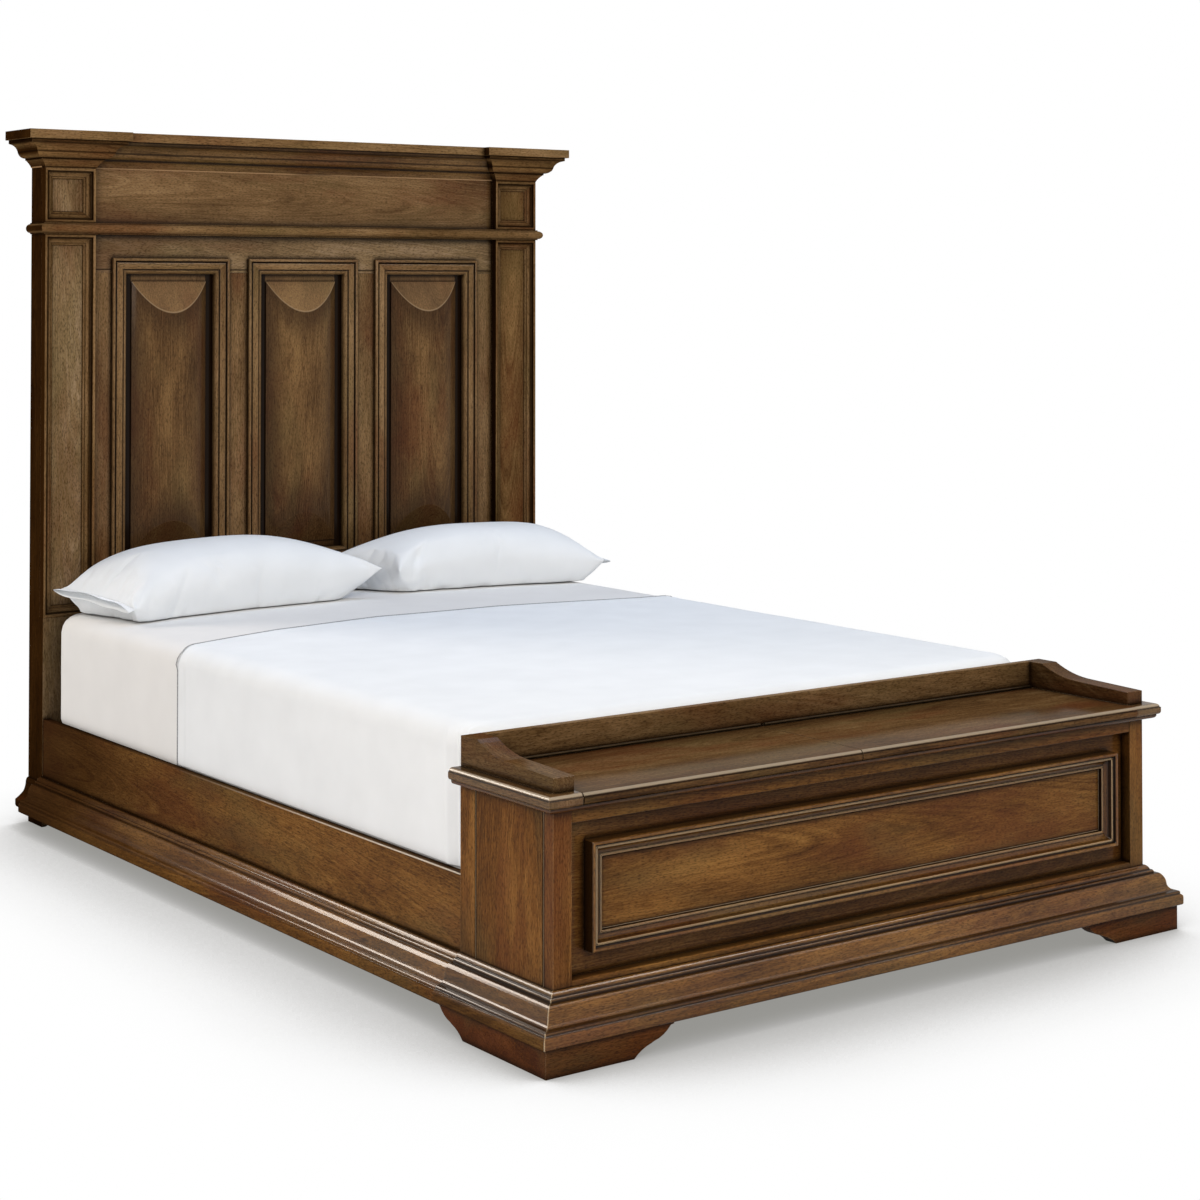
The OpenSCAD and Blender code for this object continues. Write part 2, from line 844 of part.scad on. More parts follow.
// Closed skin over rings of equal length, with flat fans on both ends
module skin(rings) {
  n = len(rings[0]);
  m = len(rings);
  points = [for (ring = rings, p = ring) p];
  middle = [[0, 0, rings[0][0][2]], [0, 0, rings[m - 1][0][2]]];
  bottom = n * m;
  polyhedron(
    points = concat(points, middle),
    faces = concat(
      [for (i = [0:m - 2], k = [0:n - 1])
        [i * n + k, (i + 1) * n + k, (i + 1) * n + (k + 1) % n]],
      [for (i = [0:m - 2], k = [0:n - 1])
        [i * n + k, (i + 1) * n + (k + 1) % n, i * n + (k + 1) % n]],
      [for (k = [0:n - 1]) [bottom, k, (k + 1) % n]],
      [for (k = [0:n - 1])
        [bottom + 1, (m - 1) * n + (k + 1) % n, (m - 1) * n + k]]),
    convexity = 4);
}

// Inset and height of the mattress's side, from its underside to its crown:
// narrow between the rails, swelling above them, then a soft top edge
mattress_steps = [
  [42, 0], [22, 5], [12, 14], [11, 22], [3, 34], [0, 60], [2, 150], [0, 240],
  [3, mattress_t - 38], [11, mattress_t - 22], [24, mattress_t - 9],
  [42, mattress_t - 2], [90, mattress_t + 1], [240, mattress_t + 3]
];

module mattress() {
  color(linen)
    translate([0, mattress_y, bed_z])
      skin([for (s = mattress_steps)
        soft_ring(mattress_half - s[0], mattress_l / 2 - s[0],
                  max(75 - s[0] / 2, 20), s[1])]);
}

// The flat sheet over the foot two thirds of the mattress
module top_sheet() {
  r = 46;
  top = bed_z + mattress_t + 4;
  inner = mattress_half + 0.5;
  function arch(w, t, rr) = concat(
    [[w, rail_top + 1], [w, t - rr]],
    arc_to([w, t - rr], [w - rr, t], -0.293 * rr, 6),
    [[rr - w, t]],
    arc_to([rr - w, t], [-w, t - rr], -0.293 * rr, 6),
    [[-w, rail_top + 1]]);
  outline = arch(inner + sheet_t, top + sheet_t, r);
  hollow = arch(inner, top, r - sheet_t);
  color(linen)
    translate([0, sheet_hem_y, 0])
      rotate([90, 0, 0])
        linear_extrude(sheet_hem_y - mattress_y + mattress_l / 2)
          polygon(concat(outline, [for (i = [len(hollow) - 1:-1:0]) hollow[i]]));
}

pillow_down = 54;                      // swelling below the seam
pillow_steps = 14;

// Corners of each pillow on the mattress, from the left one at the headboard
// round past the front. They are pushed up against the headboard, so they are
// narrower and plumper than when laid out flat.
left_corners = [[-752, 2322], [-694, 1990], [78, 2092], [-72, 2300]];
right_corners = [[28, 2338], [152, 2102], [778, 2012], [752, 2306]];
left_up = 122;                         // swelling above the seam
right_up = 110;

// A pillow's seam pulls in between its corners, and its faces swell from it
function pillow_point(corners, u, v, h) =
  let (
    swell = pow(max(0, 1 - pow(abs(u), 2.6)), 0.62)
      * pow(max(0, 1 - pow(abs(v), 2.4)), 0.62),
    a = (1 + u * (1 - 0.05 * (1 - v * v))) / 2,
    b = (1 + v * (1 - 0.07 * (1 - u * u))) / 2,
    rear = (1 - a) * corners[0] + a * corners[3],
    front = (1 - a) * corners[1] + a * corners[2],
    place = b * rear + (1 - b) * front
  )
  [place[0], place[1], h > 0 ? h * swell : max(-pillow_down, h * 1.5 * swell)];

module pillow(corners, up) {
  n = pillow_steps;
  side = [for (i = [0:n]) 2 * i / n - 1];
  top = [for (v = side, u = side) pillow_point(corners, u, v, up)];
  under = [for (v = side, u = side) pillow_point(corners, u, v, -pillow_down)];
  m = n + 1;
  // the rim's points belong to both faces, so the lower face reuses them
  function rim(i, j) = i == 0 || j == 0 || i == n || j == n;
  function upper(i, j) = i * m + j;
  function lower(i, j) = rim(i, j) ? i * m + j : m * m + i * m + j;
  // each cell is cut towards the nearest corner
  function cell(a, b, c, d, i, j) = (i < n / 2) == (j < n / 2)
    ? [[a, b, c], [a, c, d]]
    : [[a, b, d], [b, c, d]];
  color(linen)
    polyhedron(
      points = concat(top, under),
      faces = [
        for (i = [0:n - 1], j = [0:n - 1])
          each cell(upper(i, j), upper(i + 1, j), upper(i + 1, j + 1),
                    upper(i, j + 1), i, j),
        for (i = [0:n - 1], j = [0:n - 1])
          for (t = cell(lower(i, j), lower(i + 1, j), lower(i + 1, j + 1),
                        lower(i, j + 1), i, j))
            [t[0], t[2], t[1]]],
      convexity = 4);
}

pillow_z = bed_z + mattress_t + 4 + pillow_down;

module pillow_left() {
  translate([0, 0, pillow_z]) pillow(left_corners, left_up);
}

module pillow_right() {
  translate([0, 0, pillow_z]) pillow(right_corners, right_up);
}

// ---- Nodes ----

placed() mirror([1, 0, 0]) headboard_post();  // headboard_post_left
placed() headboard_post();  // headboard_post_right
placed() pilaster_mouldings();
placed() headboard_frieze();
placed() headboard_top_rail();
placed() headboard_stiles();
placed() headboard_mullions();
placed() headboard_bottom_rail();
placed() raised_panel(-panel_x);  // panel_left
placed() raised_panel(0);  // panel_centre
placed() raised_panel(panel_x);  // panel_right
placed() panel_mouldings();
placed() astragal();
placed() crown_ends();
placed() crown_centre();
placed() crown_cap();
placed() headboard_base_mouldings();
placed() mirror([1, 0, 0]) side_rail();  // side_rail_left
placed() side_rail();  // side_rail_right
placed() rail_moulding();  // rail_moulding_left
placed() mirror([1, 0, 0]) rail_moulding();  // rail_moulding_right
placed() slat_cleats();
placed() rail_hook_plates();
placed() post_slot_plates();
placed() slats();
placed() centre_beam();
placed() beam_brackets();
placed() centre_legs();
placed() leg_glides();
placed() chest_front_posts();
placed() chest_back_posts();
placed() mirror([1, 0, 0]) chest_side();  // chest_side_left
placed() chest_side();  // chest_side_right
placed() chest_front_rails();
placed() chest_front_field();
placed() chest_front_moulding();
placed() chest_front_panel();
placed() chest_back();
placed() chest_floor();
placed() chest_divider();
placed() base_moulding_front();
placed() base_mouldings_side();
placed() bracket_foot();  // bracket_foot_left
placed() mirror([1, 0, 0]) bracket_foot();  // bracket_foot_right
placed() under_top_moulding();
placed() top_end_strips();
placed() top_back_strip();
placed() gallery_back();
placed() gallery_sides();
placed() lid_bumpers();
placed() lid(lid_left_x);  // lid_left
placed() lid(lid_right_x);  // lid_right
placed() hinge_fixed_leaves();
placed() hinge_leaf(lid_left_x, -1);  // hinge_leaf_left
placed() hinge_leaf(lid_right_x, -1);  // hinge_leaf_right
placed() hinge_pins();
placed() mattress();
placed() top_sheet();
placed() pillow_left();
placed() pillow_right();
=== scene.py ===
import math
from functools import partial
import bmesh
import bpy
import numpy as np
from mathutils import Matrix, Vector


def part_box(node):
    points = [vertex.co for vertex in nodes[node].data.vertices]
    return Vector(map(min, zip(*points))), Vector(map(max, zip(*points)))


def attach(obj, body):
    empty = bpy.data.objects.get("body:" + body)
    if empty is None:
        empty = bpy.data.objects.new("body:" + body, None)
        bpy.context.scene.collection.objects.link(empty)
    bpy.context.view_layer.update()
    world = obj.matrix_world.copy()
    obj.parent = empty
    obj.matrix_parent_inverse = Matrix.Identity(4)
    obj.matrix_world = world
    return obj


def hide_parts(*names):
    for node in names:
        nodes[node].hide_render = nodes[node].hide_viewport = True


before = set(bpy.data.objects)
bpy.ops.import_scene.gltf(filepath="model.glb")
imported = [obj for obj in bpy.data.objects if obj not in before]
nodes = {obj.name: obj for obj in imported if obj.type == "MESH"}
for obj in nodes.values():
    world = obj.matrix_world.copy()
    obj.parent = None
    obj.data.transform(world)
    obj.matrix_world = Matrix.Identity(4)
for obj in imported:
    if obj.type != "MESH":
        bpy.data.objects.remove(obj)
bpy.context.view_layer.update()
print("frame loaded:", len(nodes), "nodes")

mm = 0.001


def linearColor(text):
    parts = [int(text[i:i + 2], 16) / 255 for i in (1, 3, 5)]
    return tuple(c / 12.92 if c <= 0.04045 else ((c + 0.055) / 1.055) ** 2.4
                 for c in parts) + (1.0,)


def setInputs(node, inputs):
    # each is a number, a vector, a hex colour, or the node or output that is linked in
    for socket, part in inputs.items():
        if isinstance(part, bpy.types.Node):
            part = part.outputs[0]
        if isinstance(part, bpy.types.NodeSocket):
            node.id_data.links.new(part, node.inputs[socket])
        elif isinstance(part, str):
            node.inputs[socket].default_value = linearColor(part)
        else:
            node.inputs[socket].default_value = part


def addNode(tree, kind, *inputs, stops=(), **settings):
    # inputs come in order or as one dictionary; a kind in capitals is an operation of Math
    if kind.isupper():
        kind, settings["operation"] = "Math", kind
    node = tree.nodes.new("ShaderNode" + kind)
    for name, value in settings.items():
        setattr(node, name, value)
    named = inputs and isinstance(inputs[0], dict)
    setInputs(node, inputs[0] if named else dict(enumerate(inputs)))
    if stops:
        points = node.color_ramp.elements
        for _ in stops[2:]:     # a new ramp has two points
            points.new(0.5)
        for point, (place, text) in zip(points, stops):
            point.position = place
            point.color = linearColor(text)
    return node


def newMaterial(name):
    material = bpy.data.materials.new(name)
    material.use_nodes = True
    tree = material.node_tree
    return material, partial(addNode, tree), tree.nodes["Principled BSDF"]


# Walnut, planed, stained, glazed by hand and lacquered satin: a fine speckle of pores and soft
# clouds of stain, faint growth rings, dark glaze and painted shade in the corners and along every
# moulding, edges rubbed pale and given a painted highlight. A noise is its cycles in a metre,
# twice across the board and once along it, its detail and its roughness. A range, here and below,
# is where it starts and ends, then its strength at both.
stainedWalnut = dict(
    ringsPerMetre=380,                   # growth rings 2.6 mm wide, wider on flat-sawn faces
    heartDepth=95 * mm,                  # from the board's face to the middle of its tree
    lean=(-0.033, 0.055),                # the tree's middle runs off the board's length
    wobble=18 * mm,
    drift=((4.0, 4.0, 1.9), 2, 0.55),    # of the wobble
    fibre=((330, 330, 26), 3, 0.65),     # bundles of fibres 3 mm wide and 38 mm long
    pore=((520, 520, 120), 1, 0.55),     # pores 2 x 8 mm, drawn several times too wide to show
    poreRange=(0.48, 0.7),
    cloud=((10.0, 10.0, 2.4), 4, 0.62),  # clouds of stain 100 mm wide and 400 mm long
    shares=(0.54, 0.33, 0.23),           # of the clouds, fibres and rings in a board's tone
    tonePlaces=(0.4, 0.55, 0.7),         # of its deep, middle and pale tone
    hue=((7.0, 7.0, 2.2), 3, 0.6),       # where the stain took redder or more olive
    redHex="#5a2d17", redRange=(0.5, 0.64, 0.0, 0.42),
    oliveHex="#5f5331", oliveRange=(0.5, 0.66, 0.0, 0.3),
    turnedRange=(0.55, 0.9),             # how far a side is turned from the front to take painted shade
    glazeAndShadeHex="#150b04", poreGlaze=0.56,
    leftGlazeAndShade=((110 * mm, (0.35, 0.97, 0.72, 0.0)),    # reach and range of glaze and painted shade, wiped round a frame
               (13 * mm, (0.5, 0.97, 0.97, 0.0))),     # and left in a corner
    # arrises rubbed pale, partly wear and partly a painted highlight
    rubAndHighlightReach=1.8 * mm, rubAndHighlightRange=(0.25, 0.72, 0.85, 0.0), patchRange=(0.3, 0.5),
    roughness=0.26, fibreRoughness=0.2, coatRoughness=0.11,
    fadeRange=(-0.8, 0.9),               # along the bed, of a coat that fades to nothing
    filletRange=(70 * mm, 80 * mm, 0.2, 1.0),
)
soft = dict(interpolation_type="SMOOTHSTEP")    # for a range that starts and ends gently

# the lacquer where it is left matt, rubbed satin or polished, with the pale colour of an arris
# that is partly rubbed and partly a painted highlight, and how much of an arris is pale between
# the clouds of stain
polish = {
    "matt": dict(specular=0.0, coat=0.0, rubAndHighlightHex="#a2805a", leastRubAndHighlight=0.0),
    "dull": dict(specular=0.0, coat=0.13, rubAndHighlightHex="#ad9470", leastRubAndHighlight=0.0),
    "satin": dict(specular=0.02, coat=0.12, rubAndHighlightHex="#a2805a", leastRubAndHighlight=0.0),
    "bright": dict(specular=0.0, coat=0.46, rubAndHighlightHex="#b59c78", leastRubAndHighlight=0.7),
    "waxed": dict(specular=0.0, coat=0.5, rubAndHighlightHex="#c2b297", leastRubAndHighlight=0.7),
}

# deep, middle and pale tone of each stain; end, the darkest, is also painted on some pieces'
# sides as shade
stains = {
    "middle": ("#40250b", "#6c481f", "#8b6331"),
    "pale": ("#513a1f", "#775b3a", "#937551"),
    "pilaster": ("#5d4930", "#846c4c", "#a1886a"),
    "panel": ("#3a2510", "#684c2d", "#866740"),
    "deep": ("#2c1604", "#4f2f12", "#684321"),
    "end": ("#180b03", "#2d1a08", "#3c260e"),
    "field": ("#4a2b0e", "#744c22", "#936a38"),
    "moulding": ("#352009", "#5a3c19", "#75542a"),
    "top": ("#342210", "#5a4024", "#775d3c"),
    "side": ("#402309", "#6a441c", "#895f2e"),
    "foot": ("#3a1e0a", "#633614", "#814c26"),
}

axisOrder = {"x": (1, 2, 0), "y": (2, 0, 1), "z": (0, 1, 2)}   # two across the grain, one along


def boardSpace(add, split, along):
    return add("CombineXYZ", *[split.outputs[axis] for axis in axisOrder[along]])


def frameUprights(add, split, plan):
    # 1 where a point lies on an upright of the frame it belongs to, by the mitre's line, and
    # how far the point is inside the frame's outer edge
    x = split.outputs[0]
    if plan["mirror"]:
        x = add("ABSOLUTE", x)
    across = add("SUBTRACT", x, plan["centreX"])
    if plan["pitch"]:
        across = add("WRAP", across, plan["pitch"] / 2, -plan["pitch"] / 2)
    across = add("SUBTRACT", add("ABSOLUTE", across), plan["halfWidth"])
    (lowCentre, lowHalf), (highCentre, highHalf) = plan["heights"]
    isHigh = add("GREATER_THAN", split.outputs[2], plan["divide"])
    centre = add("MULTIPLY_ADD", isHigh, highCentre - lowCentre, lowCentre)
    half = add("MULTIPLY_ADD", isHigh, highHalf - lowHalf, lowHalf)
    above = add("SUBTRACT", split.outputs[2], centre)
    above = add("SUBTRACT", add("ABSOLUTE", above), half)
    inside = add("MULTIPLY", add("MAXIMUM", across, above), -1.0)
    return add("GREATER_THAN", across, above), inside


def boardNoise(add, place, seed, scale, detail, roughness):
    # noise drawn out along the board, from a place of the board's own
    drawn = add("VectorMath", place, scale, (seed, seed * 1.7, seed), operation="MULTIPLY_ADD")
    return add("TexNoise", {"Vector": drawn, "Scale": 1.0, "Detail": detail,
                            "Roughness": roughness})


def growthRings(add, place, drift, heart, seed, look):
    # rings round the tree's middle, heart, which leans away from the board and wobbles
    onBoard = add("SeparateXYZ", place)
    shifts = add("SeparateXYZ", drift.outputs["Color"])
    squares = []
    for axis in (0, 1):
        fromHeart = add("SUBTRACT", onBoard.outputs[axis], heart[axis])
        leaned = add("MULTIPLY_ADD", onBoard.outputs[2], look["lean"][axis], fromHeart)
        wavy = add("MULTIPLY_ADD", shifts.outputs[axis], look["wobble"], leaned)
        squares.append(add("MULTIPLY", wavy, wavy))
    radius = add("SQRT", add("ADD", *squares))
    ringPlace = add("MULTIPLY_ADD", radius, look["ringsPerMetre"], seed)
    return add("TexNoise", {"W": ringPlace, "Scale": 1.0, "Detail": 2.0, "Roughness": 0.7},
               noise_dimensions="1D")


def walnutMaterial(name, stain, along, heart, seed, shine, plan=None, finish=None,
                   shadedSides=False, coatFades=False, look=stainedWalnut):
    material, add, shader = newMaterial(name)
    coords = add("TexCoord")
    split = add("SeparateXYZ", coords.outputs["Object"])
    place = boardSpace(add, split, along)
    if plan:
        # a mitred frame's uprights have their grain along Z, its other members along X
        upright, inside = frameUprights(add, split, plan)
        place = add("Mix", {0: upright, 4: place, 5: boardSpace(add, split, "z")},
                    data_type="VECTOR").outputs[1]

    streaks = partial(boardNoise, add, place, seed)
    rings = growthRings(add, place, streaks(*look["drift"]), heart, seed, look)
    fibre = streaks(*look["fibre"])
    pores = add("MapRange", streaks(*look["pore"]), *look["poreRange"])
    cloud = streaks(*look["cloud"])
    figure = 0.0
    for part, share in zip((cloud, fibre, rings), look["shares"]):
        figure = add("MULTIPLY_ADD", part, share, figure)
    color = add("ValToRGB", figure, stops=list(zip(look["tonePlaces"], stains[stain])))

    # what is laid over the stain, in its order, and how much of each
    hues = add("SeparateXYZ", streaks(*look["hue"]).outputs["Color"])
    layers = [(add("MapRange", hues.outputs[0], *look["redRange"]), look["redHex"]),
              (add("MapRange", hues.outputs[1], *look["oliveRange"]), look["oliveHex"])]
    # painted shade: faces turned to the sides take the darkest stain
    if shadedSides:
        facing = add("SeparateXYZ", coords.outputs["Normal"])
        onSide = add("MapRange", add("ABSOLUTE", facing.outputs[0]), *look["turnedRange"])
        endTones = list(zip(look["tonePlaces"], stains["end"]))
        layers.append((onSide, add("ValToRGB", figure, stops=endTones)))
    layers.append((add("MULTIPLY", pores, look["poreGlaze"]), look["glazeAndShadeHex"]))
    if plan:
        # glaze and painted shade in a frame's grooves
        for line, half, strength in plan["lines"]:
            away = add("ABSOLUTE", add("SUBTRACT", inside, line * mm))
            groove = add("MapRange", away, 0.5 * half * mm, 1.4 * half * mm, strength, 0.0)
            layers.append((groove, look["glazeAndShadeHex"]))
    if finish:
        layers += finish(add, split, cloud)
    # glaze and painted shade where ambient occlusion finds the surface closed in: wide round a
    # frame, narrow in a corner
    for reach, span in look["leftGlazeAndShade"]:
        openness = add("AmbientOcclusion", {"Distance": reach}, samples=6).outputs["AO"]
        layers.append((add("MapRange", openness, *span), look["glazeAndShadeHex"]))
    # arrises rubbed pale, partly wear and partly a painted highlight, all along on the glossier
    # pieces
    lacquer = polish[shine]
    edge = add("AmbientOcclusion", {"Distance": look["rubAndHighlightReach"]}, samples=4, inside=True,
               only_local=True).outputs["AO"]
    rubAndHighlight = add("MULTIPLY", add("MapRange", edge, *look["rubAndHighlightRange"]),
              add("MapRange", cloud, *look["patchRange"], lacquer["leastRubAndHighlight"], 1.0))
    layers.append((rubAndHighlight, lacquer["rubAndHighlightHex"]))
    for amount, layer in layers:
        color = add("Mix", {0: amount, 6: color, 7: layer}, data_type="RGBA").outputs[2]

    coat = lacquer["coat"]
    if coatFades:
        # rubbed duller towards the headboard and on the lowest fillet
        coat = add("MULTIPLY", add("MapRange", split.outputs[1], *look["fadeRange"], coat, 0.0),
                   add("MapRange", split.outputs[2], *look["filletRange"]))
    relief = add("MULTIPLY_ADD", pores, -0.6, fibre)
    setInputs(shader, {
        "Base Color": color,
        "Roughness": add("MULTIPLY_ADD", fibre, look["fibreRoughness"], look["roughness"]),
        "IOR": 1.5,
        "Specular IOR Level": lacquer["specular"],
        "Coat Weight": coat,
        "Coat Roughness": look["coatRoughness"],
        "Normal": add("Bump", {"Strength": 0.1, "Distance": 0.5 * mm, "Height": relief}),
    })
    return material


# Painted light and shade on the raised panels: black shade in the channel round each, shade on
# the barrel near its ends and towards its sides but none over its middle, shade on the lower
# facet, the upper facet lighter with a painted highlight along its arc. half, rise, facet and
# margin are the panel's own.
panelShading = dict(half=111 * mm, rise=30 * mm, facet=85 * mm, margin=32.5 * mm,
                  barrelRange=(-0.4 * mm, 0.4 * mm), endRange=(0.0, 46 * mm, 0.62, 0.0),
                  sideRange=(35 * mm, 108 * mm, 0.0, 0.5), cloudRange=(0.25, 0.6, 0.6, 1.15),
                  arcHighlightRange=(0.35 * mm, 1.1 * mm, 0.42, 0.0), mostFootShade=0.5, mostLitFacet=0.2,
                  mostChannelShade=0.93, channelShadeHex="#0d0602", shadeHex="#26160a",
                  arcHighlightHex="#a98f6c", litFacetHex="#927655")


def panelPaintedShading(node, look=panelShading):
    low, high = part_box(node)
    half, rise = look["half"], look["rise"]
    roundness = (half ** 2 + rise ** 2) / (2 * rise)   # the barrel's radius

    def finish(add, split, cloud):
        x = add("ABSOLUTE", add("SUBTRACT", split.outputs[0], (low.x + high.x) / 2))
        up = add("SUBTRACT", split.outputs[2], low.z + look["margin"])
        down = add("SUBTRACT", high.z - look["margin"], split.outputs[2])
        # how far the sloped end's plane stands before the barrel, 0 where they meet
        bent = add("SQRT", add("SUBTRACT", roundness ** 2, add("MULTIPLY", x, x)))
        barrel = add("SUBTRACT", bent, roundness - rise)
        slope = add("MULTIPLY", add("MINIMUM", up, down), rise / look["facet"])
        ahead = add("SUBTRACT", slope, barrel)
        onBarrel = add("MapRange", ahead, *look["barrelRange"], **soft)
        onFacet = add("SUBTRACT", 1.0, onBarrel)
        isLow = add("LESS_THAN", up, down)
        isHigh = add("SUBTRACT", 1.0, isLow)
        nearEnd = add("MapRange", ahead, *look["endRange"], **soft)
        atSide = add("MapRange", x, *look["sideRange"], **soft)
        # painted shade on the lower facet, and on the barrel near its ends and towards its sides
        foot = add("MULTIPLY", onFacet, add("MULTIPLY", isLow, look["mostFootShade"]))
        shade = add("MULTIPLY", onBarrel, add("MAXIMUM", nearEnd, atSide))
        shade = add("MULTIPLY", add("MAXIMUM", foot, shade),
                    add("MapRange", cloud, *look["cloudRange"], **soft))
        # the upper facet painted lighter, and a painted highlight along its arc
        litTopFacet = add("MULTIPLY", add("MULTIPLY", onFacet, isHigh), look["mostLitFacet"])
        line = add("MapRange", add("ABSOLUTE", ahead), *look["arcHighlightRange"], **soft)
        line = add("MULTIPLY", line, isHigh)
        # black painted shade in the channel round the panel
        channelShade = add("MapRange", x, half - 1 * mm, half + 2 * mm, 0.0, look["mostChannelShade"],
                      **soft)
        # the panel's back is flat and has none of this
        inFront = add("LESS_THAN", split.outputs[1], high.y - 1 * mm)
        layers = ((shade, look["shadeHex"]), (litTopFacet, look["litFacetHex"]),
                  (line, look["arcHighlightHex"]), (channelShade, look["channelShadeHex"]))
        return [(add("MULTIPLY", amount, inFront), layer) for amount, layer in layers]
    return finish


railLook = dict(shadeHex="#2c1c10", shadeRange=(0.05, 1.15, 0.0, 0.8),
                arrisHighlightHex="#d3c8b6", arrisRange=(1.6 * mm, 3.2 * mm, 1.0, 0.0),
                chestRange=(-0.95, 0.5, 0.8, 0.0))


def railShade(add, split, cloud, look=railLook):
    # painted shade: the rails are darker towards the headboard
    shade = add("MapRange", split.outputs[1], *look["shadeRange"], **soft)
    return [(shade, look["shadeHex"])]


def railArrisHighlight(add, split, cloud, look=railLook):
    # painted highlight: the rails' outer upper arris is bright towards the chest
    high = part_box("side_rail_right")[1]
    aside = add("SUBTRACT", high.x, add("ABSOLUTE", split.outputs[0]))
    below = add("SUBTRACT", high.z, split.outputs[2])
    away = add("MAXIMUM", aside, below)
    bright = add("MULTIPLY", add("MapRange", away, *look["arrisRange"], **soft),
                 add("MapRange", split.outputs[1], *look["chestRange"], **soft))
    return railShade(add, split, cloud) + [(bright, look["arrisHighlightHex"])]


topLook = dict(nosingRange=(5.5 * mm, 8.5 * mm, 0.42, 0.0), nosingHighlightHex="#c6b9a2",
               belowRange=(4 * mm, 6.5 * mm, 1.0, 0.0),
               stepAt=7.6 * mm, stepRange=(0.7 * mm, 1.6 * mm, 0.8, 0.0))


def topHighlightAndShade(node, look=topLook):
    # a painted highlight on the top's round nosing, and painted shade in the step under it
    low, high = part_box(node)
    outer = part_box("top_end_strips")[1].x

    def finish(add, split, cloud):
        fromFront = add("SUBTRACT", split.outputs[1], low.y)
        fromSide = add("SUBTRACT", outer, add("ABSOLUTE", split.outputs[0]))
        inwards = add("MINIMUM", fromFront, fromSide)
        below = add("SUBTRACT", high.z, split.outputs[2])
        bright = add("MULTIPLY", add("MapRange", inwards, *look["nosingRange"], **soft),
                     add("MapRange", below, *look["belowRange"], **soft))
        fromStep = add("ABSOLUTE", add("SUBTRACT", below, look["stepAt"]))
        darkening = add("MapRange", fromStep, *look["stepRange"], **soft)
        return [(bright, look["nosingHighlightHex"]), (darkening, stainedWalnut["glazeAndShadeHex"])]
    return finish


def pilasterSideShade(add, split, cloud):
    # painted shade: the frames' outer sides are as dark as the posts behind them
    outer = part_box("pilaster_mouldings")[1].x
    side = add("MapRange", add("ABSOLUTE", split.outputs[0]), outer - 1.8 * mm, outer - 0.4 * mm,
               **soft)
    return [(side, stains["end"][1])]


def glazeAndGrooveShade(axis, places, strength, half):
    # glaze that ran into the seam between two boards, and glaze with painted shade in a run of
    # moulding's grooves
    def finish(add, split, cloud):
        layers = []
        for place in places:
            away = add("ABSOLUTE", add("SUBTRACT", split.outputs[axis], place))
            darkening = add("MapRange", away, half * 0.5, half * 1.5, strength, 0.0, **soft)
            layers.append((darkening, stainedWalnut["glazeAndShadeHex"]))
        return layers
    return finish


# the first two are drawn wider than the real seams, which are too thin to show at this distance
sideJoints = glazeAndGrooveShade(1, [corner.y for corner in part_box("chest_side_left")], 0.96, 3.4 * mm)
railJoints = glazeAndGrooveShade(2, [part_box("headboard_top_rail")[0].z + 8 * mm], 0.8, 2.2 * mm)
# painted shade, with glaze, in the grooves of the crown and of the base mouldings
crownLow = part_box("crown_centre")[0].z
crownGrooveShade = glazeAndGrooveShade(2, [crownLow + up * mm for up in (1, 22.5, 41, 63.5)], 0.75, 2.4 * mm)
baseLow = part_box("base_moulding_front")[0].z
baseGrooveShade = glazeAndGrooveShade(2, [baseLow + up * mm for up in (25.5, 31, 70, 76)], 0.72, 2.2 * mm)
finishes = {node: panelPaintedShading(node) for node in ("panel_left", "panel_centre", "panel_right")}
finishes.update((node, topHighlightAndShade(node)) for node in ("lid_left", "lid_right", "top_end_strips"))
for finish, group in (
        (railArrisHighlight, ("side_rail_left", "side_rail_right")),
        (railShade, ("rail_moulding_left", "rail_moulding_right")),
        (pilasterSideShade, ("pilaster_mouldings",)),
        (sideJoints, ("chest_side_left", "chest_side_right", "chest_back_posts",
                      "chest_front_posts")),
        (railJoints, ("headboard_top_rail", "headboard_stiles", "headboard_mullions")),
        (crownGrooveShade, ("crown_ends", "crown_centre")),
        (baseGrooveShade, ("base_moulding_front", "base_mouldings_side"))):
    finishes.update(dict.fromkeys(group, finish))


def framePlan(centreX, halfWidth, heights, lines, divide=-1.0, pitch=0.0, mirror=False):
    # a mitred frame's centre line and half width, the centre and half height of the lower
    # and the upper frame, the height that divides these two, and the grooves that hold
    # glaze and painted shade: mm from the frame's outer edge, half width in mm, strength
    return dict(centreX=centreX, halfWidth=halfWidth, heights=heights, lines=lines,
                divide=divide, pitch=pitch, mirror=mirror)


def middleAndHalf(low, high):
    return (low + high) / 2, (high - low) / 2


low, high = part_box("pilaster_mouldings")
pilasterHalf, squareHalf, longHalf = 72.5 * mm, 73.5 * mm, 508 * mm
pilasterFrames = framePlan(high.x - pilasterHalf, pilasterHalf,
                           ((low.z + longHalf, longHalf), (high.z - squareHalf, squareHalf)),
                           ((11, 2.6, 0.85), (24, 1.6, 0.5), (31, 2.4, 0.85)),
                           divide=1.579, mirror=True)
low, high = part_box("panel_mouldings")
panelFrames = framePlan(0.0, 176 * mm, [middleAndHalf(low.z, high.z)] * 2,
                        ((10.5, 2.2, 0.8), (32.2, 2.2, 0.85)), pitch=411 * mm)
low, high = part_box("chest_front_moulding")
chestFrame = framePlan(0.0, high.x, [middleAndHalf(low.z, high.z)] * 2,
                       ((9.5, 1.9, 0.8), (17, 1.3, 0.45), (28.5, 1.6, 0.7), (35.5, 1.6, 0.8)))
framePlans = {"pilaster_mouldings": pilasterFrames, "panel_mouldings": panelFrames,
              "chest_front_moulding": chestFrame}

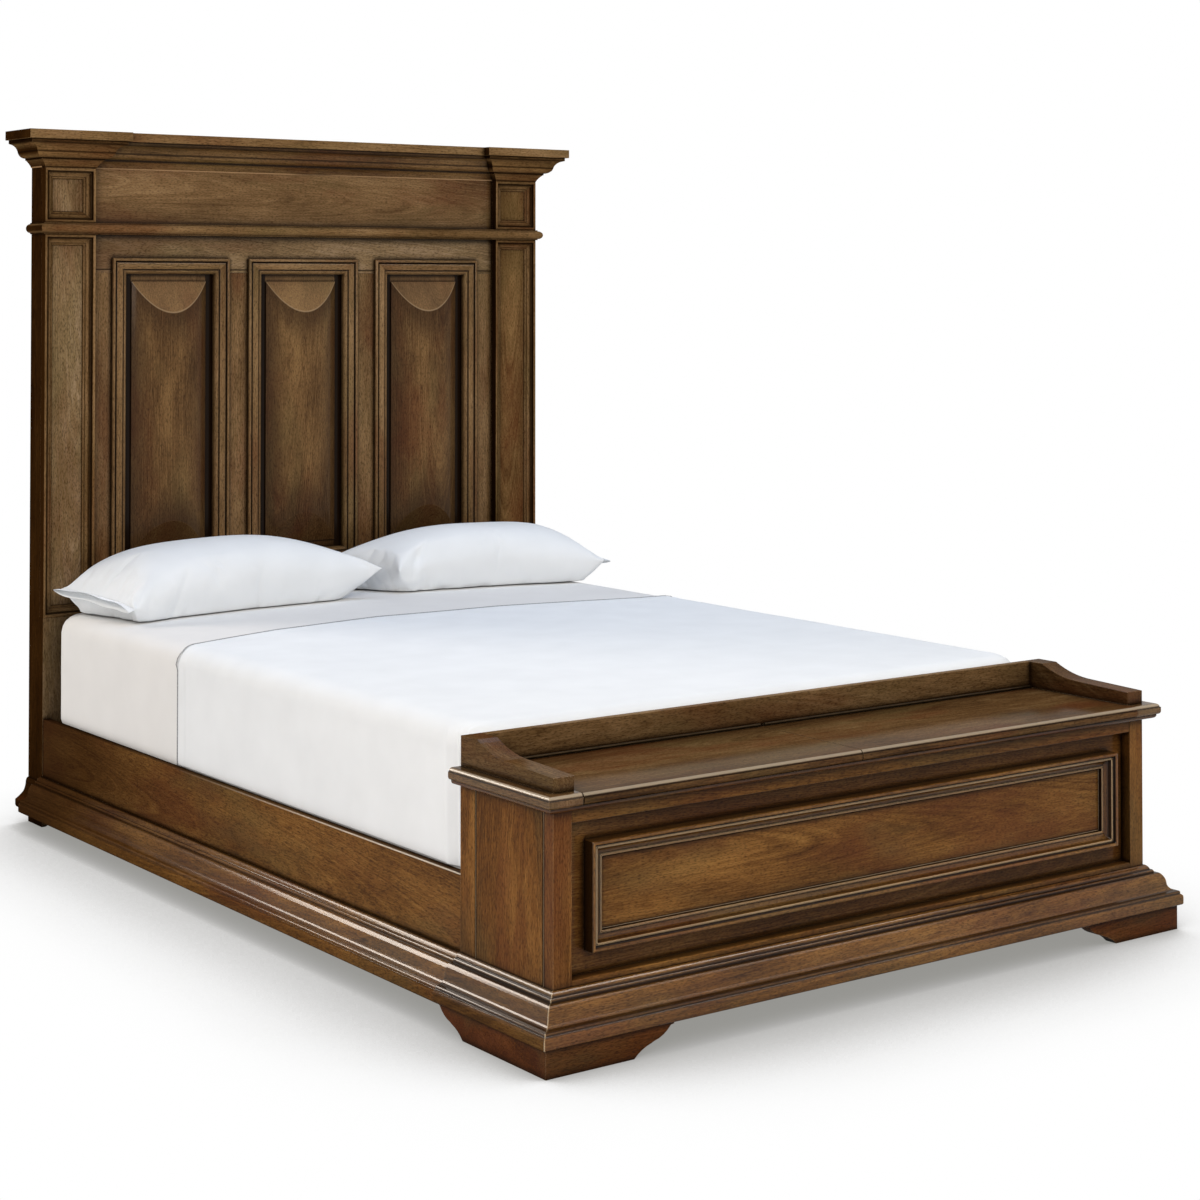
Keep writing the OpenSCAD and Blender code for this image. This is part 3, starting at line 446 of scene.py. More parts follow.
# stain and grain direction of every wooden piece that shows
woodenPieces = {
    # the right post takes a darker stain than the left one as painted shade
    "headboard_post_left": ("pilaster", "z"), "headboard_post_right": ("panel", "z"),
    "pilaster_mouldings": ("pale", "x"), "headboard_frieze": ("pale", "x"),
    "headboard_top_rail": ("pilaster", "x"), "headboard_stiles": ("pale", "z"),
    "headboard_mullions": ("pale", "z"), "headboard_bottom_rail": ("panel", "x"),
    "panel_left": ("panel", "z"), "panel_centre": ("panel", "z"), "panel_right": ("panel", "z"),
    "panel_mouldings": ("pale", "x"), "astragal": ("pale", "x"), "crown_ends": ("panel", "x"),
    "crown_centre": ("panel", "x"), "crown_cap": ("pale", "x"),
    "headboard_base_mouldings": ("end", "y"), "side_rail_left": ("middle", "y"),
    "side_rail_right": ("middle", "y"), "rail_moulding_left": ("middle", "y"),
    "rail_moulding_right": ("middle", "y"), "chest_front_posts": ("side", "z"),
    "chest_back_posts": ("side", "z"), "chest_side_left": ("side", "z"),
    "chest_side_right": ("side", "z"), "chest_front_rails": ("middle", "x"),
    "chest_front_field": ("field", "x"), "chest_front_moulding": ("middle", "x"),
    "chest_front_panel": ("middle", "x"), "chest_back": ("deep", "x"),
    "base_moulding_front": ("middle", "x"), "base_mouldings_side": ("moulding", "y"),
    "bracket_foot_left": ("foot", "x"), "bracket_foot_right": ("foot", "x"),
    "under_top_moulding": ("deep", "x"), "top_end_strips": ("top", "y"),
    "top_back_strip": ("top", "x"), "gallery_back": ("pale", "x"),
    "gallery_sides": ("top", "y"), "lid_left": ("top", "x"), "lid_right": ("top", "x"),
}
mattPieces = ("headboard_post_left", "headboard_post_right", "crown_ends", "crown_cap",
              "astragal", "headboard_base_mouldings", "pilaster_mouldings")
# pieces whose sides are painted in shade
shadedSidePieces = mattPieces + ("chest_front_moulding",)
shines = {"matt": mattPieces,
          "dull": ("side_rail_left", "side_rail_right", "lid_left", "lid_right",
                   "chest_side_left", "chest_side_right", "chest_back_posts", "gallery_back",
                   "gallery_sides", "bracket_foot_left", "bracket_foot_right"),
          "bright": ("base_moulding_front", "chest_front_moulding", "top_end_strips",
                     "under_top_moulding"),
          "waxed": ("base_mouldings_side", "rail_moulding_left", "rail_moulding_right")}
shineOf = {node: shine for shine, group in shines.items() for node in group}
fadingPieces = shines["waxed"] + ("side_rail_left", "side_rail_right")
sameBoard = {"lid_right": "lid_left"}   # both lids were cut from one board


def heartOf(node, along, seed):
    # the tree's middle lies behind the board's thin side, somewhere under its width
    low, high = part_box(node)
    size, middle = high - low, (high + low) / 2
    first, second = axisOrder[along][:2]
    heart = [middle[first], middle[second]]
    thin = 0 if size[first] < size[second] else 1
    heart[thin] += stainedWalnut["heartDepth"] * (1 + 0.35 * math.sin(seed * 5.1))
    heart[1 - thin] += 0.3 * math.sin(seed * 2.3) * size[(first, second)[1 - thin]]
    return heart


def dress(node, material):
    piece = nodes[node]
    if not piece.material_slots:
        piece.data.materials.append(material)
    for slot in piece.material_slots:
        slot.link = "OBJECT"
        slot.material = material


for node, (stain, along) in woodenPieces.items():
    board = sameBoard.get(node, node)
    seed = 3.7 * list(woodenPieces).index(board) + 1.3
    dress(node, walnutMaterial("stainedWalnut_" + node, stain, along,
                               heartOf(board, along, seed), seed, shineOf.get(node, "satin"),
                               framePlans.get(node), finishes.get(node),
                               node in shadedSidePieces, node in fadingPieces))
print("walnut pieces dressed:", len(woodenPieces))

# Knot-free pine, planed and left bare: pale straw with soft orange rings 8 mm wide
barePine = dict(deepHex="#b98d58", paleHex="#dfc192", grain=(3.0, 120, 60.0), roughness=0.62)


def pineMaterial(look=barePine):
    material, add, shader = newMaterial("barePine")
    coords = add("TexCoord").outputs["Object"]
    drawn = add("VectorMath", coords, look["grain"], operation="MULTIPLY")
    grain = add("TexNoise", {"Vector": drawn, "Scale": 1.0, "Detail": 3.0})
    color = add("ValToRGB", grain, stops=[(0.36, look["deepHex"]), (0.66, look["paleHex"])])
    bump = add("Bump", {"Strength": 0.15, "Distance": 0.4 * mm, "Height": grain})
    setInputs(shader, {"Base Color": color, "Roughness": look["roughness"], "Normal": bump})
    return material


# Rolled steel with a dark bronze plate: brown, dull, brushed along the hinge
platedSteel = dict(darkHex="#1f1810", paleHex="#3b2f20", brushing=(40.0, 900.0, 900.0),
                   roughness=0.4, brushedRoughness=0.2)


def steelMaterial(look=platedSteel):
    material, add, shader = newMaterial("platedSteel")
    coords = add("TexCoord").outputs["Object"]
    drawn = add("VectorMath", coords, look["brushing"], operation="MULTIPLY")
    brushed = add("TexNoise", {"Vector": drawn, "Scale": 1.0, "Detail": 2.0})
    color = add("ValToRGB", brushed, stops=[(0.3, look["darkHex"]), (0.7, look["paleHex"])])
    rough = add("MULTIPLY_ADD", brushed, look["brushedRoughness"], look["roughness"])
    setInputs(shader, {"Base Color": color, "Metallic": 1.0, "Roughness": rough})
    return material


# Moulded black rubber, matt with a faint bloom
mouldedRubber = dict(darkHex="#121212", bloomHex="#262524", roughness=0.75)


def rubberMaterial(look=mouldedRubber):
    material, add, shader = newMaterial("mouldedRubber")
    coords = add("TexCoord").outputs["Object"]
    bloom = add("TexNoise", {"Vector": coords, "Scale": 900.0, "Detail": 2.0})
    color = add("ValToRGB", bloom, stops=[(0.3, look["darkHex"]), (0.7, look["bloomHex"])])
    setInputs(shader, {"Base Color": color, "Roughness": look["roughness"]})
    return material


for material, group in (
        (pineMaterial(), ("slats", "slat_cleats", "centre_beam", "centre_legs", "chest_floor",
                          "chest_divider")),
        (steelMaterial(), ("rail_hook_plates", "post_slot_plates", "beam_brackets",
                           "hinge_fixed_leaves", "hinge_leaf_left", "hinge_leaf_right",
                           "hinge_pins")),
        (rubberMaterial(), ("leg_glides", "lid_bumpers"))):
    for node in group:
        dress(node, material)

# Percale, woven from combed cotton and pressed: smooth, a soft sheen. The flat sheet and the
# cases are cool white, the fitted sheet under them is a little darker and creamier.
percale = dict(threadsPerMetre=1500,   # real threads are 0.25 mm apart, drawn at 0.7 mm
               coolPercale=("#dfe3e6", "#e4e8eb"), creamPercale=("#dadad9", "#dededd"),
               roughness=0.78, sheen=0.12, sheenRoughness=0.5, specular=0.25)


def percaleMaterial(name, look=percale):
    material, add, shader = newMaterial(name)
    coords = add("TexCoord").outputs["Object"]
    split = add("SeparateXYZ", coords)
    weave = 0.0
    for axis in split.outputs:
        turns = add("MULTIPLY", axis, look["threadsPerMetre"] * math.tau)
        weave = add("ADD", add("SINE", turns), weave)
    slub = add("TexNoise", {"Vector": coords, "Scale": 9.0, "Detail": 2.0})
    color = add("ValToRGB", slub, stops=list(zip((0.3, 0.7), look[name])))
    bump = add("Bump", {"Strength": 0.1, "Distance": 0.15 * mm, "Height": weave})
    setInputs(shader, {"Base Color": color, "Roughness": look["roughness"], "Normal": bump,
                       "Sheen Weight": look["sheen"], "Sheen Roughness": look["sheenRoughness"],
                       "Specular IOR Level": look["specular"]})
    return material


# Twisted cotton thread, matt, a dash every stitch of 4 mm, grey so that its strip along the hem's
# edge stands as painted shade
threadAndHemShade = dict(darkHex="#85878a", paleHex="#a3a5a7", stitchesPerMetre=250, roughness=0.85)


def threadShadeMaterial(look=threadAndHemShade):
    material, add, shader = newMaterial("threadAndHemShade")
    coords = add("TexCoord").outputs["Object"]
    dashes = add("TexNoise", {"Vector": coords, "Scale": look["stitchesPerMetre"],
                              "Detail": 1.0})
    color = add("ValToRGB", dashes, stops=[(0.4, look["darkHex"]), (0.6, look["paleHex"])])
    setInputs(shader, {"Base Color": color, "Roughness": look["roughness"]})
    return material


cotton, fittedCotton = percaleMaterial("coolPercale"), percaleMaterial("creamPercale")
hemShadeThread = threadShadeMaterial()
print("other materials made")


def meshObject(name, points, faces, material):
    mesh = bpy.data.meshes.new(name)
    mesh.from_pydata([tuple(p) for p in points], [], faces)
    mesh.materials.append(material)
    mesh.polygons.foreach_set("use_smooth", [True] * len(mesh.polygons))
    mesh.update()
    piece = bpy.data.objects.new(name, mesh)
    bpy.context.scene.collection.objects.link(piece)
    return piece


def addModifier(piece, kind, **settings):
    modifier = piece.modifiers.new(kind.lower(), kind)
    for name, value in settings.items():
        setattr(modifier, name, value)


def steps(first, last, spacing):
    return np.linspace(first, last, max(2, int(round((last - first) / spacing)) + 1))


def boxGrid(xs, ys, zs, sides):
    # points and faces of a gridded box, with only the sides that are named
    counts = [len(xs), len(ys), len(zs)]
    index, points, faces = {}, [], []

    def point(key):
        if key not in index:
            index[key] = len(points)
            points.append((xs[key[0]], ys[key[1]], zs[key[2]]))
        return index[key]

    for side in sides:
        axis, atEnd = "xyz".index(side[1]), side[0] == "+"
        first, second = [(1, 2), (2, 0), (0, 1)][axis]
        fixed = counts[axis] - 1 if atEnd else 0
        for i in range(counts[first] - 1):
            for j in range(counts[second] - 1):
                corners = []
                for a, b in ((i, j), (i + 1, j), (i + 1, j + 1), (i, j + 1)):
                    key = [0, 0, 0]
                    key[axis], key[first], key[second] = fixed, a, b
                    corners.append(point(tuple(key)))
                faces.append(corners if atEnd else corners[::-1])
    return np.array(points), faces


def waves(points, seed, count, shortest, longest, height):
    # soft unevenness of a made bed: a few long waves in every direction
    chance = np.random.default_rng(seed)
    total = np.zeros(len(points))
    for _ in range(count):
        way = chance.normal(size=3)
        way /= np.linalg.norm(way)
        length = chance.uniform(shortest, longest)
        total += np.sin(points @ way * math.tau / length + chance.uniform(0, math.tau))
    return total * height / count


# waves are their seed, count, shortest and longest length, and height
mattressLook = dict(topRadius=46 * mm, cornerRadius=78 * mm, crown=4 * mm, tuck=12 * mm,
                    tuckHeight=30 * mm, grid=16 * mm, sideWaves=(5, 7, 0.12, 0.5, 1.0 * mm),
                    wavesFrom=0.3, wavesFull=0.4)   # heights, just above the rails
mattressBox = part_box("mattress")


def mattressForm(points, grow=0.0, look=mattressLook):
    # bends a gridded box into the mattress: round top edge, round corners, crowned top,
    # sides that pull in where they go down between the rails
    low, high = mattressBox
    middle = (np.array(low) + np.array(high)) / 2
    half = (np.array(high) - np.array(low)) / 2 + grow
    half[2] -= grow
    p = points - middle
    radius = look["topRadius"]
    toEdge = np.minimum(half[0] - np.abs(p[:, 0]), half[1] - np.abs(p[:, 1]))
    top = half[2] - look["crown"] + grow
    depth = top - np.minimum(p[:, 2], top)
    near = (toEdge < radius) & (depth < radius)
    reach = np.hypot(radius - toEdge, radius - depth)
    ratio = np.where(near, radius / np.maximum(reach, 1e-9), 1.0)
    newEdge = np.where(near, radius - (radius - toEdge) * ratio, toEdge)
    newDepth = np.where(near, radius - (radius - depth) * ratio, depth)
    pull = np.clip(1 - (p[:, 2] + half[2]) / look["tuckHeight"], 0, 1)
    inset = newEdge - toEdge + look["tuck"] * pull * pull * (3 - 2 * pull)
    out = p.copy()
    out[:, 0] *= 1 - inset / half[0]
    out[:, 1] *= 1 - inset / half[1]
    out[:, 2] = np.where(depth < top, top - newDepth, p[:, 2])
    inner = half[:2] - look["cornerRadius"]
    flat = np.abs(out[:, :2])
    past = np.maximum(flat - inner, 0)
    reach = np.maximum(np.hypot(past[:, 0], past[:, 1]), 1e-9)
    ratio = np.where((past > 0).all(1), past.max(1) / reach, 1.0)
    out[:, :2] = np.sign(out[:, :2]) * (np.minimum(flat, inner) + past * ratio[:, None])
    swell = np.clip(1 - (out[:, 0] / half[0]) ** 2, 0, 1) * np.clip(
        1 - (out[:, 1] / half[1]) ** 2, 0, 1)
    out[:, 2] += np.where(out[:, 2] > 0, look["crown"] * swell ** 0.5, 0)
    return out + middle


def makeMattress(look=mattressLook):
    low, high = mattressBox
    sides = [steps(low[axis], high[axis], look["grid"]) for axis in range(3)]
    points, faces = boxGrid(*sides, ("+x", "-x", "+y", "-y", "+z", "-z"))
    formed = mattressForm(points)
    upper = (formed[:, 2] - look["wavesFrom"]) / (look["wavesFull"] - look["wavesFrom"])
    formed[:, 0] += np.sign(formed[:, 0]) * np.clip(upper, 0, 1) * waves(
        formed, *look["sideWaves"])
    piece = meshObject("mattressInFittedSheet", formed, faces, fittedCotton)
    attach(piece, "bed")
    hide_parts("mattress")
    return piece


mattress = makeMattress()
print("mattress made")

topSheetLook = dict(clear=2.2 * mm, thick=1.1 * mm, hemY=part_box("top_sheet")[1].y,
                    lowEdge=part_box("top_sheet")[0].z + 1 * mm, grid=14 * mm, fine=5 * mm,
                    fineFoot=120 * mm, bend=20 * mm,
                    hemWide=58 * mm, hemRise=1.3 * mm, hemRows=(30, 14, 4, 1, 0),
                    # the hem bows towards the head in the middle: places across the bed,
                    # shifts along it
                    bowX=(-0.78, -0.72, -0.455, -0.143, 0.217, 0.639, 0.78),
                    bowY=(-0.093, -0.088, -0.001, 0.046, 0.03, -0.05, -0.056), bowReach=0.5,
                    topWaves=(11, 9, 0.25, 0.9, 2.2 * mm), sideWaves=(23, 8, 0.15, 0.6, 1.2 * mm),
                    # folds at the foot's corners: m from the foot, width and depth in mm
                    folds=((0.018, 5, 7), (0.043, 5, 5), (0.085, 9, 3)), slant=0.02,
                    # the stitching is drawn wider and greyer than real thread, as painted shade
                    # along the hem's edge
                    stitchShadeRows=(8, 0.5), stitchShadeThick=0.6 * mm, stitchShadeClear=0.3 * mm)


def sheetForm(points, extra=0.0, look=topSheetLook):
    # lays the sheet's gridded box over the mattress, with its waves, folds and bowed hem
    low, high = mattressBox
    toHem = look["hemY"] - points[:, 1]
    formed = mattressForm(points, grow=look["clear"] + extra)
    onHem = (toHem < look["hemWide"]) * (toHem > 0.3 * mm)
    onTop = np.clip((formed[:, 2] - high.z + look["bend"]) / look["bend"], 0, 1)
    side = np.sign(formed[:, 0]) * (1 - onTop)
    formed[:, 2] += onTop * (waves(points, *look["topWaves"]) + look["hemRise"] * onHem)
    formed[:, 0] += side * (np.maximum(waves(points, *look["sideWaves"]), -0.6 * mm)
                            + look["hemRise"] * onHem + extra)
    fromFoot = points[:, 1] - low.y
    for place, wide, deep in look["folds"]:
        slanted = place + look["slant"] * (points[:, 2] - high.z)
        formed[:, 0] += side * deep * mm * np.exp(-((fromFoot - slanted) / (wide * mm)) ** 2)
    bow = np.interp(formed[:, 0], look["bowX"], look["bowY"])
    formed[:, 1] += bow * np.clip(1 - toHem / look["bowReach"], 0, 1) ** 2
    return formed


def makeTopSheet(look=topSheetLook):
    low, high = mattressBox
    grid, hemY = look["grid"], look["hemY"]
    # fine rows where the corner folds and the folded hem are
    hemEdges = [look["hemWide"] + step * mm for step in (12, 1, -1, -12)]
    rows = np.concatenate([
        steps(low.y, low.y + look["fineFoot"], look["fine"]),
        steps(low.y + look["fineFoot"] + grid, hemY - look["hemWide"] - 32 * mm, grid),
        hemY - np.array(hemEdges + [row * mm for row in look["hemRows"]])])
    columns = steps(low.x, high.x, grid)
    heights = steps(look["lowEdge"], high.z, grid)
    points, faces = boxGrid(columns, rows, heights, ("+x", "-x", "-y", "+z"))
    piece = meshObject("topSheet", sheetForm(points), faces, cotton)
    addModifier(piece, "SOLIDIFY", thickness=look["thick"], offset=1.0)
    addModifier(piece, "SUBSURF", levels=1, render_levels=1)
    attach(piece, "bed")
    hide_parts("top_sheet")
    # a grey strip at the hem's edge: stitching, drawn wide and dark as painted shade
    rows = hemY - np.array(look["stitchShadeRows"]) * mm
    points, faces = boxGrid(columns, rows, heights, ("+x", "-x", "+z"))
    stitchShade = meshObject("hemStitchShade", sheetForm(points, look["thick"] + look["stitchShadeClear"]),
                        faces, hemShadeThread)
    addModifier(stitchShade, "SOLIDIFY", thickness=look["stitchShadeThick"], offset=1.0)
    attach(stitchShade, "bed")


makeTopSheet()
print("top sheet made")


# Pillows in cases that are open at their outer ends, pushed up against the headboard.
# Corners are mm from the bed's middle and from the chest's front, from the left one at the
# headboard round past the front; lift is each corner's height above the seam's, in mm.
pillowLook = dict(down=54 * mm, underFullness=3.6, ridge=0.12, across=96, along=42,
                  closedPower=2.4, openPower=5.0,   # fuller towards the case's open end
                  alongRound=0.8, acrossPower=2.3, acrossRound=0.62,
                  endPull=0.055, seamPull=0.08,     # drawn in between the corners
                  flap=24 * mm, flapGap=9 * mm, flapRows=5, flapWave=2.2 * mm,
                  flapDroop=5 * mm, pressure=4.0, spareCloth=0.035, furthest=24 * mm, frames=20)
pillowPlaces = {
    "pillowLeft": dict(node="pillow_left", seed=3, hemAt=-1, up=102 * mm, lift=(8, -16, 24, 14),
                       corners=((-764, 2322), (-700, 1992), (78, 2100), (-66, 2304))),
    "pillowRight": dict(node="pillow_right", seed=8, hemAt=1, up=88 * mm, lift=(14, 4, 6, 16),
                        corners=((28, 2338), (152, 2106), (792, 2014), (766, 2306))),
}
mattressMiddle = 1339.5 * mm    # from the chest's front
originY = (mattressBox[0].y + mattressBox[1].y) / 2 - mattressMiddle


def pillowPoints(place, u, v, height, look=pillowLook):
    # u runs along the pillow, v from its front to the headboard, height is 1 up and -1 down
    shifted = np.clip(v - look["ridge"] * (1 - v * v), -1, 1)
    power = np.where(u * place["hemAt"] > 0, look["openPower"], look["closedPower"])
    swell = ((1 - np.abs(u) ** power).clip(0) ** look["alongRound"]
             * (1 - np.abs(shifted) ** look["acrossPower"]).clip(0) ** look["acrossRound"])
    a = (1 + u * (1 - look["endPull"] * (1 - v * v))) / 2
    b = (1 + v * (1 - look["seamPull"] * (1 - u * u))) / 2
    corners = [np.array((x * mm, y * mm + originY, rise * mm))
               for (x, y), rise in zip(place["corners"], place["lift"])]
    a, b = a[:, None], b[:, None]
    out = b * ((1 - a) * corners[0] + a * corners[3]) + (1 - b) * (
        (1 - a) * corners[1] + a * corners[2])
    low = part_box(place["node"])[0].z
    down = np.minimum(look["down"] + out[:, 2] - 1 * mm,
                      look["underFullness"] * look["down"] * swell)
    out[:, 2] += low + look["down"] + np.where(height > 0, place["up"] * swell, -down)
    return out


def makePillow(name, place, look=pillowLook):
    across, along = look["across"], look["along"]
    index, grid = {}, []
    for height in (1, -1):
        for i, v in enumerate(np.linspace(-1, 1, along + 1)):
            for j, u in enumerate(np.linspace(-1, 1, across + 1)):
                if height < 0 and (i in (0, along) or j in (0, across)):
                    index[height, i, j] = index[1, i, j]
                    continue
                index[height, i, j] = len(grid)
                grid.append((u, v, height))
    faces = []
    for height in (1, -1):
        for i in range(along):
            for j in range(across):
                face = [index[height, a, b] for a, b in
                        ((i, j), (i, j + 1), (i + 1, j + 1), (i + 1, j))]
                faces.append(face if height > 0 else face[::-1])
    points = pillowPoints(place, *np.array(grid).T)
    piece = meshObject(name, points, faces, cotton)
    openColumn = 0 if place["hemAt"] < 0 else across
    openEnd = [index[1, i, openColumn] for i in range(along + 1)]
    inflate(piece, points, openEnd, look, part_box(place["node"])[0].z)
    addCaseHem(piece, place, openEnd, look)
    addModifier(piece, "SUBSURF", levels=1, render_levels=1)
    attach(piece, "bed")
    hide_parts(place["node"])


def inflate(piece, start, held, look, bed):
    # cloth under pressure, a little too large for its filling, so that it puckers
    pin = piece.vertex_groups.new(name="pin")
    pin.add(held, 1.0, "REPLACE")
    cloth = piece.modifiers.new("cloth", "CLOTH")
    settings = cloth.settings
    settings.quality = 6
    settings.mass = 0.2
    settings.tension_stiffness = settings.compression_stiffness = 14
    settings.shear_stiffness = 4
    settings.bending_stiffness = 0.35
    settings.vertex_group_mass = "pin"
    settings.use_pressure = True
    settings.uniform_pressure_force = look["pressure"]
    settings.shrink_min = -look["spareCloth"]
    settings.effector_weights.gravity = 0
    cloth.collision_settings.use_collision = False
    scene = bpy.context.scene
    for step in range(1, look["frames"] + 1):
        scene.frame_set(step)
    depsgraph = bpy.context.evaluated_depsgraph_get()
    result = np.empty(len(piece.data.vertices) * 3)
    piece.evaluated_get(depsgraph).data.vertices.foreach_get("co", result)
    moved = result.reshape(-1, 3) - start
    length = np.linalg.norm(moved, axis=1)
    scale = np.minimum(1, look["furthest"] / np.maximum(length, 1e-9))
    settled = start + moved * scale[:, None]
    # it lies on the mattress: nothing goes below its lowest plane
    under = bed + 1 * mm - settled[:, 2]
    settled[:, 2] += np.where(under > 0, under, 0)
    piece.modifiers.remove(cloth)
    scene.frame_set(1)
    piece.data.vertices.foreach_set("co", settled.ravel())
    piece.data.update()
    print(piece.name, "inflated, furthest move %.0f mm" % (length.max() * 1000))


def addCaseHem(piece, place, openEnd, look):
    # the case's two edges run on past the filling at its open end
    mesh = bmesh.new()
    mesh.from_mesh(piece.data)
    mesh.verts.ensure_lookup_table()
    plan = [Vector((x * mm, y * mm, 0)) for x, y in place["corners"]]
    middle = (plan[0] + plan[1] + plan[2] + plan[3]) / 4
    end = (plan[0] + plan[1]) / 2 if place["hemAt"] < 0 else (plan[2] + plan[3]) / 2
    outwards = (end - middle).normalized()
    rim = [mesh.verts[number] for number in openEnd]
    bases = [vert.co.copy() for vert in rim]
    for height in (1, -1):
        last = rim
        for row in range(1, look["flapRows"] + 1):
            part = row / look["flapRows"]
            new = []
            for i, base in enumerate(bases):
                v = 2 * i / (len(rim) - 1) - 1
                gap = look["flapGap"] * height * (1 - v ** 6) * part ** 0.6
                wave = look["flapWave"] * math.sin(7 * v + 2 * place["seed"]) * part
                droop = -look["flapDroop"] * part * part * (0.4 + 0.6 * (v < 0) * abs(v))
                reached = base + outwards * look["flap"] * part * (1 - 0.25 * v ** 4)
                new.append(mesh.verts.new(reached + Vector((0, 0, gap + wave + droop))))
            for i in range(len(rim) - 1):
                face = (last[i], last[i + 1], new[i + 1], new[i])
                mesh.faces.new(face if (height > 0) == (place["hemAt"] > 0) else face[::-1])
            last = new
    mesh.to_mesh(piece.data)
    mesh.free()
    piece.data.polygons.foreach_set("use_smooth", [True] * len(piece.data.polygons))


for name, place in pillowPlaces.items():
    makePillow(name, place)
print("pillows made")

# Edges that a sander has just broken. The ledge under the chest's field is rounded more, the
# lids' joint hardly at all, and the raised panels keep their crisp mitres.
easedEdge = dict(width=1.3 * mm, segments=2, angle=34, joined=0.02 * mm,
                 widths={"chest_front_rails": 2.6 * mm, "lid_left": 0.4 * mm,
                         "lid_right": 0.4 * mm},
                 crisp=("panel_left", "panel_centre", "panel_right"))


def easeEdges(node, look=easedEdge):
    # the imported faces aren't joined, so they are first
    addModifier(nodes[node], "WELD", merge_threshold=look["joined"])
    addModifier(nodes[node], "BEVEL", width=look["widths"].get(node, look["width"]),
                segments=look["segments"], limit_method="ANGLE",
                angle_limit=math.radians(look["angle"]), use_clamp_overlap=True,
                miter_outer="MITER_ARC")


for node in woodenPieces:
    if node not in easedEdge["crisp"]:
        easeEdges(node)
print("edges eased")

# Stage: a white floor with the bed's shadow painted into it, and soft lamps
floorLook = dict(size=30.0, shadeReach=0.7, hex="#f2f2f1", shades=(
    (0.1, "#959490"), (0.42, "#adacaa"), (0.55, "#bbbab8"), (0.63, "#c8c7c5"),
    (0.68, "#d9d8d7"), (0.72, "#e6e5e5"), (0.77, "#f1f1f0"), (0.82, "#f9f9f9"),
    (0.88, "#fefefe"), (0.93, "#ffffff")))


def makeFloor(look=floorLook):
    # the camera sees white paint as a glow, with the bed's shadow painted in: softly darker where
    # the bed keeps the light away
    material, add, shader = newMaterial("paintedFloor")
    setInputs(shader, {"Base Color": look["hex"], "Roughness": 0.9, "Specular IOR Level": 0.1})
    openness = add("AmbientOcclusion", {"Distance": look["shadeReach"]}, samples=16)
    seenColor = add("ValToRGB", openness.outputs["AO"], stops=look["shades"])
    path = add("LightPath").outputs
    seen = add("MAXIMUM", path["Is Camera Ray"], path["Is Glossy Ray"])
    white = add("Emission", {"Color": seenColor, "Strength": 1.0})
    output = material.node_tree.nodes["Material Output"]
    setInputs(output, {"Surface": add("MixShader", seen, shader, white)})
    size = look["size"]
    corners = ((-size, -size, 0), (size, -size, 0), (size, size, 0), (-size, size, 0))
    meshObject("floor", corners, [(0, 1, 2, 3)], material)


worldLook = dict(hex="#eef2f7", strength=0.36)


def makeWorld(look=worldLook):
    # white to the camera and in reflections, dimmer and cooler as a light
    world = bpy.data.worlds.new("studio")
    bpy.context.scene.world = world
    world.use_nodes = True
    world.node_tree.nodes.clear()
    add = partial(addNode, world.node_tree)
    path = add("LightPath").outputs
    seen = add("MAXIMUM", path["Is Camera Ray"],
               add("MAXIMUM", path["Is Glossy Ray"], path["Is Transmission Ray"]))
    dim = add("Background", {"Color": look["hex"], "Strength": look["strength"]})
    white = add("Background", {"Color": "#ffffff", "Strength": 1.0})
    add("OutputWorld", {"Surface": add("MixShader", seen, dim, white)})


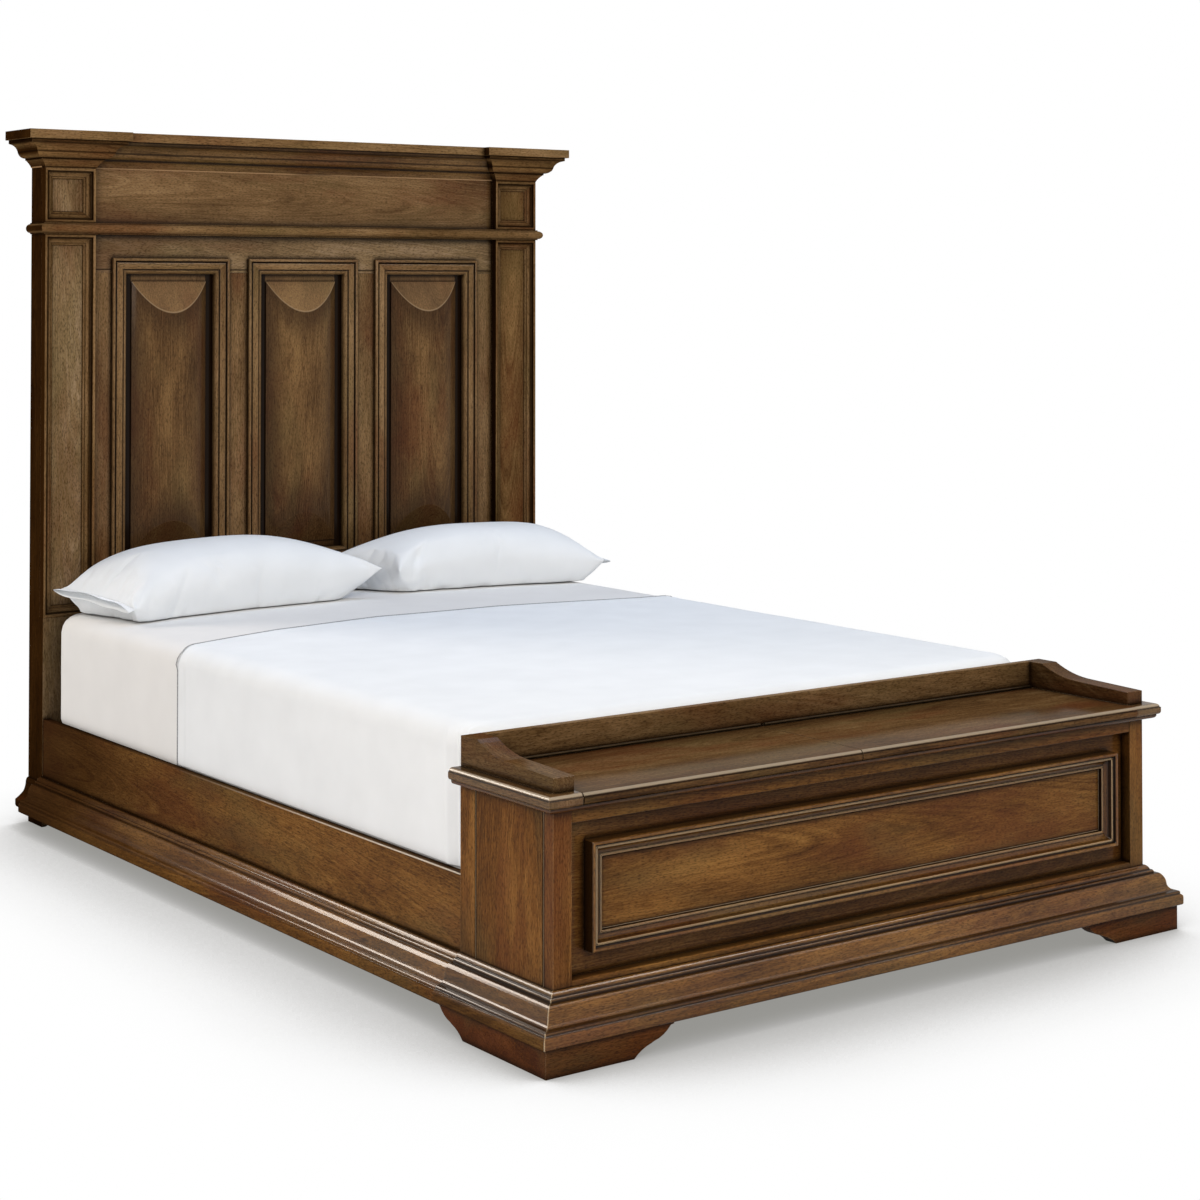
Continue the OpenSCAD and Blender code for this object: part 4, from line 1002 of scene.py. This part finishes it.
lamps = {
    "frontSoftbox": dict(place=(0.1, -5.0, 4.6), target=(-0.2, 0.2, 0.6), size=(2.6, 2.2),
                         watts=156, hex="#fff8f0"),
    "leftSoftbox": dict(place=(-3.7, -2.7, 2.0), target=(-0.7, -0.6, 0.3), size=(1.8, 1.6),
                        watts=70, hex="#fff3e8"),
    "overhead": dict(place=(0.3, 1.0, 3.5), target=(0.1, 0.8, 0.5), size=(2.2, 1.4),
                     watts=38, hex="#c4dcff"),
    "rearStrip": dict(place=(-3.2, 5.0, 3.4), target=(-0.85, -0.6, 0.1), size=(1.6, 2.0),
                      watts=180, hex="#fff3e6"),
    "rightStrip": dict(place=(2.2, -2.4, 3.4), target=(2.2, -1.9, 0.3), size=(2.4, 0.35),
                       watts=40, hex="#fff6ec"),
}


def aim(piece, direction):
    piece.rotation_mode = "QUATERNION"
    piece.rotation_quaternion = direction.to_track_quat("-Z", "Y")
    bpy.context.scene.collection.objects.link(piece)


def addLamp(name, look):
    lamp = bpy.data.lights.new(name, "AREA")
    lamp.shape = "RECTANGLE"
    lamp.size, lamp.size_y = look["size"]
    lamp.energy = look["watts"]
    lamp.color = linearColor(look["hex"])[:3]
    holder = bpy.data.objects.new(name, lamp)
    holder.location = look["place"]
    aim(holder, Vector(look["target"]) - Vector(look["place"]))


makeFloor()
makeWorld()
for name, look in lamps.items():
    addLamp(name, look)
print("stage set")

# The place and aim that put the bed's corners where the photograph has them, in degrees and
# metres; focal and ahead, the pixel straight ahead of the camera, are in its pixels
cameraLook = dict(yaw=36.185, pitch=1.357, place=(-3.3026, -4.7909, 1.4285), focal=2376.37,
                  ahead=(606.94, 228.48), photoSize=1200, sensor=36.0, clip=(0.05, 100))


def makeCamera(look=cameraLook):
    yaw, pitch = math.radians(look["yaw"]), math.radians(look["pitch"])
    lens = bpy.data.cameras.new("camera")
    camera = bpy.data.objects.new("camera", lens)
    camera.location = look["place"]
    aim(camera, Vector((math.sin(yaw) * math.cos(pitch), math.cos(yaw) * math.cos(pitch),
                        math.sin(pitch))))
    photoSize, (aheadX, aheadY) = look["photoSize"], look["ahead"]
    lens.sensor_width = look["sensor"]
    lens.lens = look["focal"] / photoSize * look["sensor"]
    lens.shift_x = (photoSize / 2 - aheadX) / photoSize
    lens.shift_y = (aheadY - photoSize / 2) / photoSize
    lens.clip_start, lens.clip_end = look["clip"]
    bpy.context.scene.camera = camera


makeCamera()
bpy.context.scene.view_settings.view_transform = "Standard"
